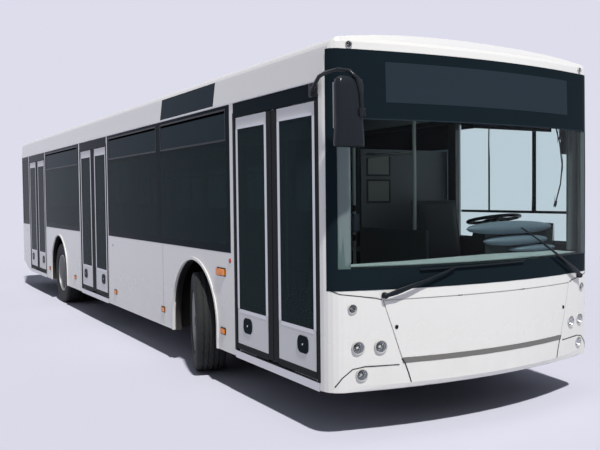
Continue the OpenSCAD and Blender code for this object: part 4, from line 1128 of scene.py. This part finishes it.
rows = [pads(x - 0.430, y, SEAT_Z, SEAT_W, 2) for x, y in SEATS]
piece("seat_pads", rows, "seat_cloth")
piece("driver_pads", pads(4.230, 0.590, 0.900, 0.500, 1), "driver_cloth")
grips = []
for x, y in SEATS:
    y0, y1 = y + GRIP_INSET, y + SEAT_W - GRIP_INSET
    path = [(x - 0.522, y0, 1.400), (x - 0.527, y0, 1.452), (x - 0.527, y1, 1.452), (x - 0.522, y1, 1.400)]
    grips.append(tube(path, 0.012, 8, AHEAD))
piece("seat_grips", grips, "rail_coat")

# %% Straps, collars and readers
RAIL_Y, RAIL_Z, STRAP_RING = 0.260, 1.950, 0.052
READERS = ((3.860, 0.100), (4.020, -0.900), (0.400, -0.900), (-1.400, -0.250), (-3.550, -0.350))


def collar(centre, axis, r, half):
    """A band round a rail or a pole."""
    return lathe([(0.0165, -half), (r, -half), (r, half), (0.0165, half)], centre, axis, 16)


straps, collars, readers = [], [], []
for x in np.arange(-3.2, 2.1, 0.45):
    straps.append(boxes((x - 0.015, RAIL_Y - 0.0015, 1.790), (x + 0.015, RAIL_Y + 0.0015, 1.945), 0.001))
    ring = np.insert(circle(STRAP_RING, 24), 1, 0.0, axis=1) + [x, RAIL_Y, 1.742]
    straps.append(sweep(ring, circle(0.007, 8), ALONG_Y, True))
    collars.append(collar((x, RAIL_Y, RAIL_Z), AHEAD, 0.020, 0.02))
piece("rail_straps", straps)
for x, y in READERS:
    readers.append(boxes((x - 0.040, y - 0.036, 1.300), (x + 0.040, y + 0.036, 1.480), 0.012))
    collars += [collar((x, y, z), UP, 0.021, 0.03) for z in (1.250, 1.530)]
piece("ticket_readers", readers, "hood_skin")
piece("rail_collars", collars)

# %% [markdown]
# ## Floor and light
# The bus was cut out onto a flat pale ground, with the sun high and in front of it. The floor fades
# into the backdrop's colour with distance, so that no horizon shows.

# %% Floor and light
BACKDROP, GROUND, SKY = (0.723, 0.723, 0.839, 1), (0.624, 0.627, 0.737, 1), (0.80, 0.86, 0.95, 1)
FLOOR_HALF, FADE_FROM, FADE_TO, SKY_STRENGTH = 60.0, 8.0, 14.0, 0.21

floor_mesh = bpy.data.meshes.new("ground")
corners = [(FLOOR_HALF * x, FLOOR_HALF * y, 0) for x, y in ((-1, -1), (1, -1), (1, 1), (-1, 1))]
floor_mesh.from_pydata(corners, [], [(0, 1, 2, 3)])
ground = bpy.data.objects.new("ground", floor_mesh)
scene.collection.objects.link(ground)

ground_mat = bpy.data.materials.new("ground")
ground_mat.use_nodes = True
tree = ground_mat.node_tree
shader = tree.nodes["Principled BSDF"]
feed(tree, shader, Base_Color=GROUND, Roughness=0.9, Specular_IOR_Level=0.0)
distance = node(tree, "VectorMath", operation="LENGTH", in_0=object_place(tree)).outputs["Value"]
fade = node(tree, "MapRange", Value=distance, in_1=FADE_FROM, in_2=FADE_TO).outputs[0]
mix_shaders(tree, fade, shader, node(tree, "Emission", Color=BACKDROP, Strength=1.0), "Material Output")
floor_mesh.materials.append(ground_mat)

world = bpy.data.worlds.new("studio")
scene.world = world
world.use_nodes = True
tree = world.node_tree
ray = node(tree, "LightPath").outputs
seen = maths(tree, "MAXIMUM", ray["Is Glossy Ray"], ray["Is Transmission Ray"])
seen = maths(tree, "MAXIMUM", ray["Is Camera Ray"], seen)
soft = feed(tree, tree.nodes["Background"], Color=SKY, Strength=SKY_STRENGTH)
mix_shaders(tree, seen, soft, node(tree, "Background", Color=BACKDROP, Strength=1.0), "World Output")

SUN_FROM = (0.52, -0.09, 0.83)
sun = bpy.data.lights.new("sun", "SUN")
sun.energy = 3.6
sun.angle = math.radians(2.5)
sun.color = (1.0, 0.98, 0.94)
sun_obj = bpy.data.objects.new("sun", sun)
back = unit(SUN_FROM)
side = unit(np.cross(UP, back))
sun_obj.matrix_world = placed(side, np.cross(back, side), back)
scene.collection.objects.link(sun_obj)

# %% Sizes and finish
print("pieces made:", len(made), "faces:", sum(made.values()))
